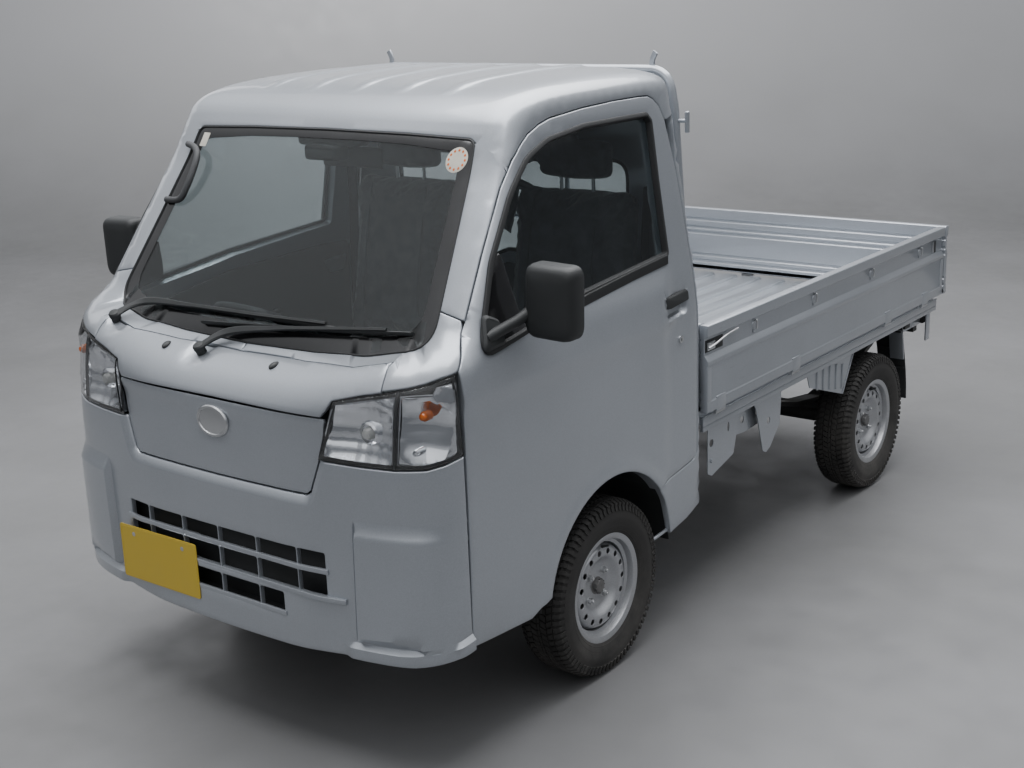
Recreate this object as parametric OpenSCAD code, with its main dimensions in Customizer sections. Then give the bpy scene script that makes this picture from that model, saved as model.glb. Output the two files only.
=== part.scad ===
// Small cab-over pickup truck with a drop-side bed.
// Front faces -Y, the left side of the truck is +X, +Z is up, wheels stand on z = 0.

/* [Overall] */
// Length over the bumper and the tail gate
length = 3395; // [3200:5:3400]
// Width over the doors, without mirrors
width = 1475; // [1395:5:1480]
// Height over the hooks of the guard frame
height = 1780; // [1750:5:1800]
// Distance between the axles
wheelbase = 1900; // [1850:5:1920]
// Distance between the wheel centres of one axle
track = 1300; // [1280:5:1305]
// Distance from the front bumper to the front axle
front_overhang = 842.5; // [820:2.5:860]

/* [Wheels] */
// Outer radius of the tyre
tyre_radius = 268; // [255:1:272]
// Width of the tyre
tyre_width = 145; // [135:1:150]
// Radius of the rim's bead seat
seat_radius = 152; // [150:0.5:155]
// Number of round vent holes in the wheel disc
vent_count = 15; // [10:1:20]

/* [Cab] */
// Thickness of the cab walls
wall = 40; // [30:1:50]
// Thickness of the doors
door_wall = 48; // [44:1:55]
// Gap around each door
door_gap = 8; // [5:0.5:10]
// Rear face of the cab
cab_rear = -318; // [-325:1:-310]
// Height of the crown of the roof
roof_top = 1758; // [1740:1:1765]
// Thickness of the glass
glass = 6; // [4:0.5:8]

/* [Bed] */
// Height of the bed floor
deck = 655; // [640:1:670]
// Top of the gates
gate_top = 947; // [930:1:960]
// Thickness of the gates
gate_wall = 32; // [25:1:40]
// Gap under and between the gates
gate_gap = 7; // [5:0.5:10]
// Radius of the hinge barrels of the gates
barrel = 7; // [5:0.5:9]

/* [Steering] */
// Outside radius of the steering wheel
wheel_grip = 185; // [170:1:195]
// Tilt of the steering column from upright
column_tilt = 31; // [20:1:40]

/* [Hidden] */
$fn = 64;
front = -length / 2;
rear = length / 2;
side = width / 2;
axle_f = front + front_overhang;
axle_r = axle_f + wheelbase;
hub_x = track / 2;
kingpin_x = hub_x - 45;
arch_r = 332;
gate_in = side - gate_wall;
hinge_x = side - 8.5;
hinge_z = deck - 3;
tail_y = rear - gate_wall;
frame_y = -285;
hinge_bolt_x = 722;
hinge_bolt_y = -1475;
hinge_rows = [480, 880];
hinge_h = 80;
plate_x = -265;
plate_pitch = 210;
plate_hole = 3.5;
column_foot = 430;

silver = [0.62, 0.66, 0.70];
dark = [0.10, 0.10, 0.11];
steel = [0.55, 0.57, 0.60];
under = [0.16, 0.16, 0.17];

// Outline of the cab seen from the side: [y, z]
cab_side = [
  [front, 300], [front, 745], [front + 6, 905], [front + 14, 962], [front + 34, 1010],
  [front + 160, 1072], [front + 537, 1627], [-1108, 1686], [-1010, 1728], [-850, 1750],
  [-640, roof_top], [-400, roof_top - 10], [-340, roof_top - 34], [cab_rear, roof_top - 78],
  [cab_rear, 340], [-900, 300]
];

// Outline of the cab seen from the front: [x, z], right half
cab_half = [
  [side, 200], [side, 985], [side - 7, 1050], [side - 108, 1660], [side - 120, 1692],
  [side - 142, 1716], [side - 185, 1735], [side - 280, 1750], [0, roof_top + 4]
];

// Outline of the cab seen from above: [x, y], right half
cab_plan = [
  [0, front], [300, front + 7], [480, front + 31], [636, front + 70], [700, front + 116],
  [730, front + 165], [side, front + 205], [side, cab_rear - 14], [side - 14, cab_rear], [0, cab_rear]
];

// Outline of a closed door: [y, z]
door_line = [
  [-1509, 345], [-1507, 1000], [-1505, 1090], [-1421, 1190], [-1321, 1335], [-1211, 1489],
  [-1155, 1555], [-1073, 1614], [-965, 1645], [-808, 1657], [-653, 1662], [-470, 1660],
  [-432, 1645], [-398, 1583], [-379, 1450], [-371, 1309], [-368, 1096], [-367, 837],
  [-381, 540], [-597, 511], [-620, 420], [-1180, 330], [-1262, 342]
];

// Opening for the window of a door: [y, z]
window_line = [
  [-1421, 1112], [-1311, 1319], [-1190, 1477], [-1100, 1554], [-999, 1590], [-821, 1609],
  [-528, 1609], [-482, 1580], [-493, 1417], [-497, 1202], [-944, 1172]
];

// Opening for the windshield: [x, z], right half
shield_half = [[0, 1078], [430, 1094], [606, 1132], [532, 1604], [0, 1616]];

// Face of a headlamp: [x, z]
lamp_line = [[379, 846], [760, 852], [760, 1054], [716, 1052], [421, 1002]];

// Front garnish between the headlamps: [x, z], right half
garnish_half = [[0, 748], [344, 748], [358, 762], [397, 945], [390, 955], [0, 958]];

// Part to draw

// ---------- helpers ----------

function mirrored(half) =
  concat(half, [for (i = [len(half) - 1:-1:0]) if (half[i][0] > 0) [-half[i][0], half[i][1]]]);

// A [y, z] outline swept along X
module along_x(x0, x1) {
  translate([x0, 0, 0]) rotate([90, 0, 90]) linear_extrude(x1 - x0) children();
}

// An [x, z] outline swept along Y
module along_y(y0, y1) {
  translate([0, y1, 0]) rotate([90, 0, 0]) linear_extrude(y1 - y0) children();
}

module along_z(z0, z1) {
  translate([0, 0, z0]) linear_extrude(z1 - z0) children();
}

module block(low, high) {
  translate(low) cube(high - low);
}

module both_sides() {
  children();
  mirror([1, 0, 0]) children();
}

// A round bar between two points
module bar(a, b, r) {
  d = b - a;
  h = norm(d);
  translate(a) rotate([0, acos(d[2] / h), atan2(d[1], d[0])]) cylinder(h = h, r = r);
}

module rod_x(x0, x1, y, z, r) {
  translate([x0, y, z]) rotate([0, 90, 0]) cylinder(h = x1 - x0, r = r);
}

module rod_y(y0, y1, x, z, r) {
  translate([x, y1, z]) rotate([90, 0, 0]) cylinder(h = y1 - y0, r = r);
}

// The cab as one closed body, drawn in by the depth given
module cab_body(depth, floor_drop = 0) {
  intersection() {
    along_x(-side - 1, side + 1) offset(delta = -depth) polygon(cab_side);
    along_y(front - 1, cab_rear + 1) offset(delta = -depth) polygon(mirrored(cab_half));
    along_z(100, 1900) offset(delta = -depth) polygon(mirrored(cab_plan));
  }
  if (floor_drop > 0)
    along_z(100, 800) offset(delta = -depth) polygon(mirrored(cab_plan));
}

// The wall of the cab, open below
module cab_skin(depth) {
  difference() {
    cab_body(0);
    cab_body(depth, 1);
  }
}

// ---------- cab ----------

module front_bumper() {
  color(silver) difference() {
    intersection() {
      cab_skin(wall);
      block([-side, front - 1, 290], [side, -1517, 844]);
    }
    along_y(front - 5, front + 60) offset(delta = 3) polygon(mirrored(garnish_half));
    for (z = [541, 466]) for (x = [-378:108:270])
      block([x, front - 5, z], [x + 100, front + 70, z + 60]);
    for (x = [-270:108:162])
      block([x, front - 5, 395], [x + 100, front + 70, 455]);
    // shallow seat for the front plate
    block([plate_x - 168, front - 1, 352], [plate_x + 168, front + 2, 523]);
  }
}

module front_garnish() {
  color(silver) {
    intersection() {
      difference() {
        cab_body(9);
        cab_body(wall - 8);
      }
      along_y(front - 5, front + 60) polygon(mirrored(garnish_half));
    }
    translate([0, front + 12, 902]) rotate([90, 0, 0]) cylinder(h = 7, r = 43);
  }
}

module headlamps() {
  color([0.85, 0.87, 0.90]) intersection() {
    difference() {
      cab_body(2);
      cab_body(75);
    }
    block([-side, front - 5, 800], [side, -1518, 1100]);
    union() {
      along_y(front - 5, -1500) polygon(lamp_line);
      mirror([1, 0, 0]) along_y(front - 5, -1500) polygon(lamp_line);
    }
  }
}

// Space kept for a closed door and the gap around it
module door_zone() {
  both_sides() difference() {
    along_x(500, side + 5) offset(delta = door_gap) polygon(door_line);
    along_y(front - 5, 0) offset(delta = -door_wall - door_gap) polygon(mirrored(cab_half));
  }
}

module cab_front_frame() {
  color(silver) difference() {
    intersection() {
      cab_skin(wall);
      along_x(-side, side) polygon([
        [front - 5, 959], [-1470, 959], [-1470, 1062], [-1427, 1072], [-1000, 1600],
        [-990, 1645], [-1300, 1645], [front - 5, 1300]
      ]);
    }
    both_sides() along_y(front - 5, -1450) offset(delta = 1) polygon(lamp_line);
    along_y(-1640, -1100) polygon(mirrored(shield_half));
    door_zone();
  }
}

module roof_panel() {
  color(silver) intersection() {
    cab_skin(30);
    along_x(-side, side) polygon([
      [-1300, 1645], [-1000, 1645], [-965, 1653], [-808, 1665], [-653, 1670], [-475, 1668],
      [-430, 1654], [-300, 1654], [-300, 1800], [-1300, 1800]
    ]);
  }
}

module cab_rear_wall() {
  color(silver) difference() {
    intersection() {
      cab_skin(wall);
      block([-600, -362, 600], [600, cab_rear + 1, 1654]);
    }
    along_y(-400, cab_rear + 5) offset(r = 40) square_from([-470, 1130], [470, 1450]);
  }
}

module square_from(low, high) {
  translate(low) square(high - low);
}

module cab_sides() {
  color(silver) difference() {
    intersection() {
      cab_skin(wall);
      along_x(-side, side) polygon([
        [cab_rear + 5, 1654], [-430, 1654], [-390, 1586], [-371, 1451], [-363, 1309],
        [-360, 1096], [-359, 837], [-373, 547], [-374, 533], [-590, 503], [-556, 450],
        [-556, 404], [-572, 348], [-431, 359], [-347, 386], [cab_rear + 5, 451]
      ]);
    }
    block([-600, -400, 300], [600, cab_rear + 5, 1700]);
  }
}

module cab_floor() {
  color(under) {
    difference() {
      union() {
        // foot well, step up to the seats, and the seat box
        block([-660, -1500, 400], [660, -1190, column_foot]);
        block([-660, -1190, 400], [660, -1172, 650]);
        block([-660, -1190, 650], [660, -359, 680]);
        block([-660, -400, 560], [-380, -359, 650]);
        block([380, -400, 560], [660, -359, 650]);
      }
      both_sides() rod_x(398, 700, axle_f, 295, arch_r);
    }
    // inner walls of the wheel houses
    both_sides() block([380, -1172, 340], [398, -400, 650]);
    // hinge pillars, with a strap and an eye for each door hinge
    both_sides() block([625, -1500, column_foot], [660, -1455, 1000]);
    for (z = hinge_rows) both_sides() difference() {
      union() {
        block([660, hinge_bolt_y - 5, z + 5], [hinge_bolt_x, hinge_bolt_y + 5, z + hinge_h - 5]);
        translate([hinge_bolt_x, hinge_bolt_y, z + 5]) cylinder(h = hinge_h - 10, r = 9);
      }
      translate([hinge_bolt_x, hinge_bolt_y, z]) cylinder(h = hinge_h, r = 5.4);
    }
  }
}

module cab_glass() {
  color([0.2, 0.24, 0.26, 0.4]) {
    intersection() {
      difference() {
        cab_body(8);
        cab_body(8 + glass);
      }
      along_y(-1640, -1120) offset(delta = -0.3) polygon(mirrored(shield_half));
    }
    along_y(-344, -344 + glass) offset(r = 39.5) square_from([-470, 1130], [470, 1450]);
  }
}

module dashboard() {
  color(dark) {
    along_x(-620, 620) polygon([
      [-1484, 1046], [-1400, 1066], [-1330, 1066], [-1262, 1000], [-1290, 900],
      [-1400, 850], [-1484, 870]
    ]);
    // column shroud, and the column down to the floor
    translate([-330, 0, 0]) {
      along_x(-45, 45) polygon([
        [-1292, 930], [-1196, 958], [-1136, 922], [-1203, 811], [-1345, 874]
      ]);
      bar([0, column_y(column_foot + 14), column_foot + 14], [0, column_y(840), 840], 20);
    }
  }
}

function column_y(z) = -1130 + (z - 1000) * tan(column_tilt);

module steering_wheel() {
  color(dark) translate([-330, -1130, 1000]) rotate([-column_tilt, 0, 0]) {
    rotate_extrude() translate([wheel_grip - 14, 0]) circle(r = 14, $fn = 32);
    translate([0, 0, -62]) cylinder(h = 50, r = 26);
    translate([0, 0, -30]) cylinder(h = 38, r = 58);
    for (a = [0, 180, 270]) rotate([0, 0, a])
      translate([50, -17, -16]) cube([wheel_grip - 66, 34, 14]);
  }
}

module seats() {
  color([0.2, 0.2, 0.21]) both_sides() translate([340, 0, 0]) {
    along_x(-235, 235) offset(r = 40) offset(delta = -40)
      polygon([[-1010, 682], [-500, 682], [-500, 815], [-980, 845], [-1020, 800]]);
    along_x(-225, 225) offset(r = 35) offset(delta = -35)
      polygon([[-575, 824], [-470, 824], [-372, 1375], [-470, 1395]]);
    along_x(-130, 130) offset(r = 35) offset(delta = -35)
      polygon([[-490, 1400], [-385, 1380], [-378, 1530], [-470, 1545]]);
  }
}

module door_shape() {
  color(silver) {
    difference() {
      intersection() {
        cab_body(0);
        along_x(560, side + 5) polygon(door_line);
      }
      along_y(front - 5, 0) offset(delta = -door_wall) polygon(mirrored(cab_half));
      along_x(500, side + 5) polygon(window_line);
      rod_x(500, side + 5, axle_f, 295, arch_r);
      for (z = hinge_rows)
        block([650, -1515, z], [hinge_bolt_x + 10.5, hinge_bolt_y + 23, z + hinge_h]);
    }
    for (z = hinge_rows)
      translate([hinge_bolt_x, hinge_bolt_y, z]) cylinder(h = hinge_h, r = 5);
  }
}

module door_left() { door_shape(); }

module door_right() { mirror([1, 0, 0]) door_shape(); }

module door_glass() {
  color([0.2, 0.24, 0.26, 0.4]) intersection() {
    along_y(-1500, -400) difference() {
      offset(delta = -18) polygon(mirrored(cab_half));
      offset(delta = -18 - glass) polygon(mirrored(cab_half));
    }
    along_x(560, side + 5) offset(delta = -0.3) polygon(window_line);
  }
}

module door_glass_left() { door_glass(); }

module door_glass_right() { mirror([1, 0, 0]) door_glass(); }

module mirror_shape() {
  color(dark) {
    along_y(-1290, -1222) offset(r = 38) offset(delta = -38)
      square_from([757, 1128], [912, 1322]);
    bar([728, -1384, 1165], [775, -1262, 1215], 16);
    intersection() {
      along_y(-1424, -1335) polygon([[722.5, 1112], [742, 1112], [726, 1205], [707, 1205]]);
      along_x(700, 745) polygon([[-1424, 1110], [-1335, 1110], [-1335, 1206], [-1380, 1206]]);
    }
  }
}

module mirror_left() { mirror_shape(); }

module mirror_right() { mirror([1, 0, 0]) mirror_shape(); }

// One arm with its blade, held off the body on a short pivot that leans outwards
module wiper(pivot, tip, lean, reach) {
  bar(pivot, tip, 7);
  bar(pivot - reach * lean, pivot + 9 * lean, 11);
}

module wipers() {
  color(dark) {
    wiper([-604, -1531, 1108], [299, -1521, 1128], [0, -0.827, 0.563], 12);
    wiper([-230, -1566, 1079], [533, -1517, 1137], [0, -0.442, 0.897], 14);
  }
}

// ---------- bed ----------

module bed_floor() {
  color(silver) {
    difference() {
      block([-gate_in + 3, -272, deck - 40], [gate_in - 3, tail_y - 8, deck]);
      // open underside between the cross sills
      for (i = [0:4])
        block([-gate_in + 55, -240 + i * 380, deck - 41], [gate_in - 55, 95 + i * 380, deck - 10]);
    }
    // side sills that carry the gate hinges
    both_sides() block([gate_in - 3, -300, deck - 62], [gate_in + 10, tail_y - 8, deck - 16]);
  }
}

module bed_front_panel() {
  color(silver) difference() {
    block([-gate_in + 3, -300, deck - 40], [gate_in - 3, -272, gate_top]);
    for (z = [deck + 60, deck + 150])
      block([-640, -280, z], [640, -271, z + 50]);
  }
}

module guard_frame() {
  color(silver) {
    bar([-541, frame_y, 1722], [541, frame_y, 1722], 14);
    both_sides() {
      bar([541, frame_y, 1722], [590, frame_y, 1682], 14);
      bar([590, frame_y, 1682], [606, frame_y, 1606], 14);
      bar([606, frame_y, 1606], [648, frame_y, gate_top + 8], 14);
      for (p = [[541, 1722], [590, 1682], [606, 1606]])
        translate([p[0], frame_y, p[1]]) sphere(r = 15, $fn = 32);
      block([628, frame_y - 13, gate_top], [668, frame_y + 13, gate_top + 18]);
      // load hook on the corner, and a rope hook on the post
      translate([530, frame_y, 1722]) cylinder(h = height - 1722, r = 7);
      bar([608, frame_y, 1570], [650, frame_y, 1570], 7);
      translate([650, frame_y, 1536]) cylinder(h = 62, r = 8);
    }
  }
}

module gate_panel(run) {
  // upright panel, thin skin between a top rail, a belt and a bottom rail
  difference() {
    block([gate_in, 0, deck + gate_gap], [side, run, gate_top]);
    block([gate_in - 1, 30, deck + 45], [gate_in + 12, run - 30, gate_top - 40]);
    block([side - 6, 12, gate_top - 90], [side + 1, run - 12, gate_top - 30]);
  }
}

module side_gate() {
  color(silver) {
    translate([0, -310, 0]) gate_panel(tail_y - 8 + 310);
    // hinge straps and their barrels
    for (y = [-221, 310, 1102, 1474]) {
      block([side - 6, y - 30, hinge_z], [side, y + 30, deck + gate_gap + 20]);
      rod_y(y - 30, y + 30, hinge_x, hinge_z, barrel);
    }
    // rope hooks
    for (y = [14, 459, 947, 1418]) block([side - 6, y - 12, 888], [side, y + 12, 904]);
  }
}

module side_gate_left() { side_gate(); }

module side_gate_right() { mirror([1, 0, 0]) side_gate(); }

module tail_gate() {
  color(silver) {
    difference() {
      block([-side, tail_y, deck + gate_gap], [side, rear, gate_top]);
      block([-side + 30, tail_y - 1, deck + 45], [side - 30, tail_y + 12, gate_top - 40]);
      block([-side + 40, rear - 6, gate_top - 90], [side - 40, rear + 1, gate_top - 30]);
    }
    for (x = [-560, -190, 190, 560]) {
      block([x - 30, rear - 6, hinge_z], [x + 30, rear, deck + gate_gap + 20]);
      rod_x(x - 30, x + 30, rear - 8.5, hinge_z, barrel);
    }
  }
}

// ---------- chassis ----------

module ladder_frame() {
  color(under) {
    both_sides() along_x(290, 350) polygon([
      [-1560, 320], [-1240, 320], [-420, 320], [-60, 500], [1640, 500],
      [1640, deck - 41], [-100, deck - 41], [-360, 480], [-460, 398], [-1560, 398]
    ]);
    // cross members
    for (y = [-1560, -1000]) block([-290, y, 330], [290, y + 60, 390]);
    for (y = [-200, 180, 800, 1300]) block([-290, y, 520], [290, y + 60, 580]);
    block([-640, 1600, 500], [-350, 1640, 570]);
    block([350, 1600, 500], [640, 1640, 570]);
    difference() {
      block([-290, 1600, 500], [290, 1640, 570]);
      for (s = [-1, 1]) rod_y(1599, 1641, s * plate_pitch / 2, 543, plate_hole);
    }
    // outriggers that carry the bed
    for (y = [-140, 620, 1400]) both_sides() block([350, y, 560], [686, y + 50, deck - 41]);
  }
}

module engine() {
  color(steel) block([-240, -800, 300], [240, -330, 590]);
}

module fuel_tank() {
  color(under) along_x(-640, -380) offset(r = 30) offset(delta = -30)
    polygon([[-250, 360], [380, 360], [380, 555], [-90, 555], [-250, 500]]);
}

module front_suspension() {
  color(under) both_sides() {
    block([350, axle_f - 22, 184], [kingpin_x, axle_f + 22, 200]);
    translate([kingpin_x, axle_f, 184]) cylinder(h = 16, r = 16);
    block([350, axle_f - 60, 184], [372, axle_f + 60, 330]);
    block([500, axle_f - 18, 340], [kingpin_x, axle_f + 18, 354]);
    translate([kingpin_x, axle_f, 340]) cylinder(h = 14, r = 16);
    translate([515, axle_f, 340]) cylinder(h = 300, r = 20);
    block([398, axle_f - 50, 604], [560, axle_f + 50, 624]);
  }
}

module knuckle() {
  color(steel) {
    translate([kingpin_x, axle_f, 201]) cylinder(h = 138, r = 15);
    rod_x(kingpin_x, 672, axle_f, tyre_radius, 18);
    rod_x(622, 628, axle_f, tyre_radius, 92);
  }
}

module knuckle_left() { knuckle(); }

module knuckle_right() { mirror([1, 0, 0]) knuckle(); }

module rear_axle() {
  color(under) {
    difference() {
      union() {
        rod_x(-616, 616, axle_r, tyre_radius, 36);
        translate([0, axle_r, tyre_radius]) sphere(r = 125);
        both_sides() rod_x(600, 672, axle_r, tyre_radius, 18);
        both_sides() rod_x(590, 616, axle_r, tyre_radius, 105);
      }
      block([-130, axle_r - 60, 380], [130, axle_r + 60, 420]);
    }
    both_sides() {
      along_x(430, 490) polygon([
        [500, 455], [560, 424], [820, 352], [axle_r, 318], [1270, 352], [1530, 438],
        [1590, 470], [1580, 484], [1524, 454], [1264, 370], [axle_r, 340], [826, 370],
        [566, 440], [510, 470]
      ]);
      block([425, axle_r - 45, 296], [495, axle_r + 45, 330]);
      block([350, 496, 455], [490, 524, 499]);
      block([350, 1566, 470], [490, 1594, 499]);
    }
  }
}

module drive_shaft() {
  color(steel) {
    bar([0, -320, 400], [0, 905, 292], 30);
    rod_y(-330, -270, 0, 398, 55);
  }
}

module exhaust() {
  color(steel) {
    rod_y(-330, 180, -180, 420, 20);
    rod_y(180, 640, -180, 400, 72);
    rod_y(640, 1580, -180, 420, 20);
  }
}

module rear_fenders() {
  color(silver) both_sides() {
    // plate ahead of the wheel, hung from the bed
    along_x(694, 698) polygon([[440, 614], [500, 536], [780, 445], [882, 614]]);
    along_x(560, 698) polygon([[780, 445], [786, 445], [888, 614], [882, 614]]);
    // brackets behind the cab
    along_x(686, 696) polygon([[-250, 614], [-245, 470], [-50, 457], [-30, 614]]);
    along_x(686, 696) polygon([[60, 614], [175, 392], [286, 470], [290, 614]]);
    // mud flap
    along_x(580, 700) polygon([[1330, 614], [1336, 614], [1402, 270], [1396, 270]]);
  }
}

module tail_lamps() {
  color([0.6, 0.08, 0.07]) both_sides() block([430, 1640, 490], [620, 1672, 590]);
}

module number_plates() {
  color([0.85, 0.72, 0.10]) {
    difference() {
      block([plate_x - 165, front, 355], [plate_x + 165, front + 2, 520]);
      for (s = [-1, 1]) rod_y(front - 1, front + 3, plate_x + s * plate_pitch / 2, 495, plate_hole);
    }
    difference() {
      block([-165, 1640, 405], [165, 1642, 570]);
      for (s = [-1, 1]) rod_y(1639, 1643, s * plate_pitch / 2, 543, plate_hole);
    }
  }
}

// ---------- wheels ----------

module tyre_shape() {
  r = tyre_radius;
  w = tyre_width / 2;
  color(dark) rotate([0, 90, 0]) rotate_extrude($fn = 128) polygon([
    [seat_radius + 0.3, -54], [seat_radius + 16, -56], [seat_radius + 45, -w], [r - 42, -w],
    [r - 14, -w + 9], [r - 3, -w + 19], [r, -w + 32], [r, w - 32], [r - 3, w - 19],
    [r - 14, w - 9], [r - 42, w], [seat_radius + 45, w], [seat_radius + 16, 56],
    [seat_radius + 0.3, 54]
  ]);
}

// The disc faces +X
module rim_shape() {
  s = seat_radius;
  color([0.75, 0.76, 0.78]) difference() {
    rotate([0, 90, 0]) rotate_extrude($fn = 96) polygon([
      [18.5, -10], [44, -10], [44, 8], [72, 12], [96, 30], [118, 34], [130, 26], [s - 20, -30],
      [s - 20, -38], [s - 6, -48], [s - 4, -60], [s + 14, -60], [s + 16, -57], [s, -54],
      [s, -34], [s - 14, -28], [s - 14, 26], [s, 32], [s, 54], [s + 16, 57], [s + 14, 60],
      [s - 4, 60], [s - 7, 36], [s - 20, 32], [118, 42], [96, 40], [70, 22], [44, 20],
      [34, 44], [0, 44], [0, 36], [18.5, 36]
    ]);
    for (i = [0:vent_count - 1]) rotate([i * 360 / vent_count, 0, 0])
      translate([20, 0, 108]) rotate([0, 90, 0]) cylinder(h = 30, r = 9, $fn = 24);
    for (i = [0:3]) rotate([45 + i * 90, 0, 0])
      translate([0, 0, 55]) rotate([0, 90, 0]) cylinder(h = 30, r = 5, $fn = 24);
  }
}

module placed(x, y) {
  translate([x, y, tyre_radius]) if (x < 0) mirror([1, 0, 0]) children();
  else children();
}

module tyre_front_left() { placed(hub_x, axle_f) tyre_shape(); }

module tyre_front_right() { placed(-hub_x, axle_f) tyre_shape(); }

module tyre_rear_left() { placed(hub_x, axle_r) tyre_shape(); }

module tyre_rear_right() { placed(-hub_x, axle_r) tyre_shape(); }

module rim_front_left() { placed(hub_x, axle_f) rim_shape(); }

module rim_front_right() { placed(-hub_x, axle_f) rim_shape(); }

module rim_rear_left() { placed(hub_x, axle_r) rim_shape(); }

module rim_rear_right() { placed(-hub_x, axle_r) rim_shape(); }

ladder_frame();
front_bumper();
front_garnish();
roof_panel();
cab_front_frame();
cab_rear_wall();
cab_sides();
cab_floor();
cab_glass();
dashboard();
seats();
headlamps();
guard_frame();
bed_floor();
bed_front_panel();
engine();
fuel_tank();
front_suspension();
rear_axle();
drive_shaft();
exhaust();
rear_fenders();
tail_lamps();
number_plates();
wipers();
door_left();
door_right();
door_glass_left();
door_glass_right();
mirror_left();
mirror_right();
side_gate_left();
side_gate_right();
tail_gate();
tyre_front_left();
tyre_front_right();
tyre_rear_left();
tyre_rear_right();
rim_front_left();
rim_front_right();
rim_rear_left();
rim_rear_right();
knuckle_left();
knuckle_right();
steering_wheel();
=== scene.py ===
"""Small flat-bed truck with a forward cab: visible skin, finishes, stage and camera.

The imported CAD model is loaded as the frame. Every piece below is built in the frame's own
place, in metres, and rides on one of its bodies. Lengths inside the helpers are millimetres.
"""

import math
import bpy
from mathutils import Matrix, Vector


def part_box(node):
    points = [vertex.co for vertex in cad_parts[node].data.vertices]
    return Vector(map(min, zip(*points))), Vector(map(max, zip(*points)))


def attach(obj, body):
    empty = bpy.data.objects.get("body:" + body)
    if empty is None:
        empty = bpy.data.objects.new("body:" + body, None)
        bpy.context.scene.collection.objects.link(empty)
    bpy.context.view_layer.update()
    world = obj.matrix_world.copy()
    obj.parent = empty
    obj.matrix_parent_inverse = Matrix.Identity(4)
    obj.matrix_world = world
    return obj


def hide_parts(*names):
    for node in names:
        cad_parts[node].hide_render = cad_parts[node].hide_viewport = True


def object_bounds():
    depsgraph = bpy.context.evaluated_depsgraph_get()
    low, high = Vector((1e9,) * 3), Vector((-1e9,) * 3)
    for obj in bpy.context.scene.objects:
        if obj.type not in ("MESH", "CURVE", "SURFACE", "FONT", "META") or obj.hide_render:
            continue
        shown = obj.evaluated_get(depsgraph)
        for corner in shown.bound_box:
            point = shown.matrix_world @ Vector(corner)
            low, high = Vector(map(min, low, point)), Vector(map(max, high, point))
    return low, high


bl_info = {
    "name": "Flat-bed Truck Looks",
    "version": (1, 0, 0),
    "blender": (4, 5, 0),
    "location": "View3D > Sidebar > Truck",
    "description": "Builds the visible pieces and finishes of a small flat-bed truck",
    "category": "Object",
}

import bmesh
import bpy
import numpy as np
from bpy.props import FloatProperty, FloatVectorProperty, IntProperty, PointerProperty
from mathutils import Matrix, Vector
from mathutils.geometry import delaunay_2d_cdt

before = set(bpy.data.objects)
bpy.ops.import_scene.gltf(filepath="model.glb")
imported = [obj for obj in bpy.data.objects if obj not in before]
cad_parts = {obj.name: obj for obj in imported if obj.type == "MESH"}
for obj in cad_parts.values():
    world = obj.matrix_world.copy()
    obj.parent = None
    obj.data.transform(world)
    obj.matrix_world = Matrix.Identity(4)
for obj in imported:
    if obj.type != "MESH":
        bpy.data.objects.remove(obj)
CAD_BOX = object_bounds()
MM = 0.001
BODY = "truck_body"


# ---------- curves and outlines ----------


def unit(a):
    a = np.asarray(a, float)
    return a / np.maximum(np.linalg.norm(a, axis=-1, keepdims=True), 1e-12)


def smooth(t):
    t = np.clip(t, 0, 1)
    return t * t * (3 - 2 * t)


def spline(points, steps=12):
    """Catmull-Rom curve through open points."""
    p = np.asarray(points, float)
    out = []
    for i in range(len(p) - 1):
        a, b, c, d = p[max(i - 1, 0)], p[i], p[i + 1], p[min(i + 2, len(p) - 1)]
        for k in range(steps):
            t = k / steps
            out.append(0.5 * (2 * b + (c - a) * t + (2 * a - 5 * b + 4 * c - d) * t**2
                              + (3 * b - a - 3 * c + d) * t**3))
    return np.array(out + [p[-1]])


def densify(points, step, closed=True):
    """Extra points so that no side is longer than step; the corners stay."""
    p = np.asarray(points, float)
    out = []
    for i in range(len(p) if closed else len(p) - 1):
        a, b = p[i], p[(i + 1) % len(p)]
        n = max(1, int(math.ceil(np.linalg.norm(b - a) / step)))
        out += [a + (b - a) * k / n for k in range(n)]
    return np.array(out if closed else out + [p[-1]])


def fillet(points, radius, steps=6):
    """Closed outline with its corners rounded; radius is one number or one for each corner."""
    p = np.asarray(points, float)
    n = len(p)
    r = np.broadcast_to(np.asarray(radius, float), (n,))
    out = []
    for i in range(n):
        a, b, c = p[i - 1], p[i], p[(i + 1) % n]
        u, v = unit(a - b), unit(c - b)
        cos = np.clip(np.dot(u, v), -1, 1)
        half = math.acos(cos) / 2
        if r[i] <= 0 or half > 1.55:
            out.append(b)
            continue
        cut = min(r[i] / math.tan(half), 0.48 * np.linalg.norm(a - b), 0.48 * np.linalg.norm(c - b))
        s, e = b + u * cut, b + v * cut
        for k in range(steps + 1):
            t = k / steps
            out.append((1 - t) ** 2 * s + 2 * t * (1 - t) * b + t * t * e)
    return np.array(out)


def outline_distance(u, v, poly):
    """Distance from points to a closed outline, negative inside."""
    res = np.empty(len(u))
    a, b = poly, np.roll(poly, -1, axis=0)
    e = b - a
    length = (e**2).sum(1) + 1e-9
    for s in range(0, len(u), 6000):
        x, y = u[s:s + 6000, None], v[s:s + 6000, None]
        wx, wy = x - a[None, :, 0], y - a[None, :, 1]
        t = np.clip((wx * e[:, 0] + wy * e[:, 1]) / length, 0, 1)
        d = np.sqrt(((wx - e[:, 0] * t) ** 2 + (wy - e[:, 1] * t) ** 2).min(axis=1))
        cross = e[:, 0] * wy - e[:, 1] * wx
        up = (a[None, :, 1] <= y) & (b[None, :, 1] > y) & (cross > 0)
        down = (a[None, :, 1] > y) & (b[None, :, 1] <= y) & (cross < 0)
        res[s:s + 6000] = np.where(up.sum(1) != down.sum(1), -d, d)
    return res


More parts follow.
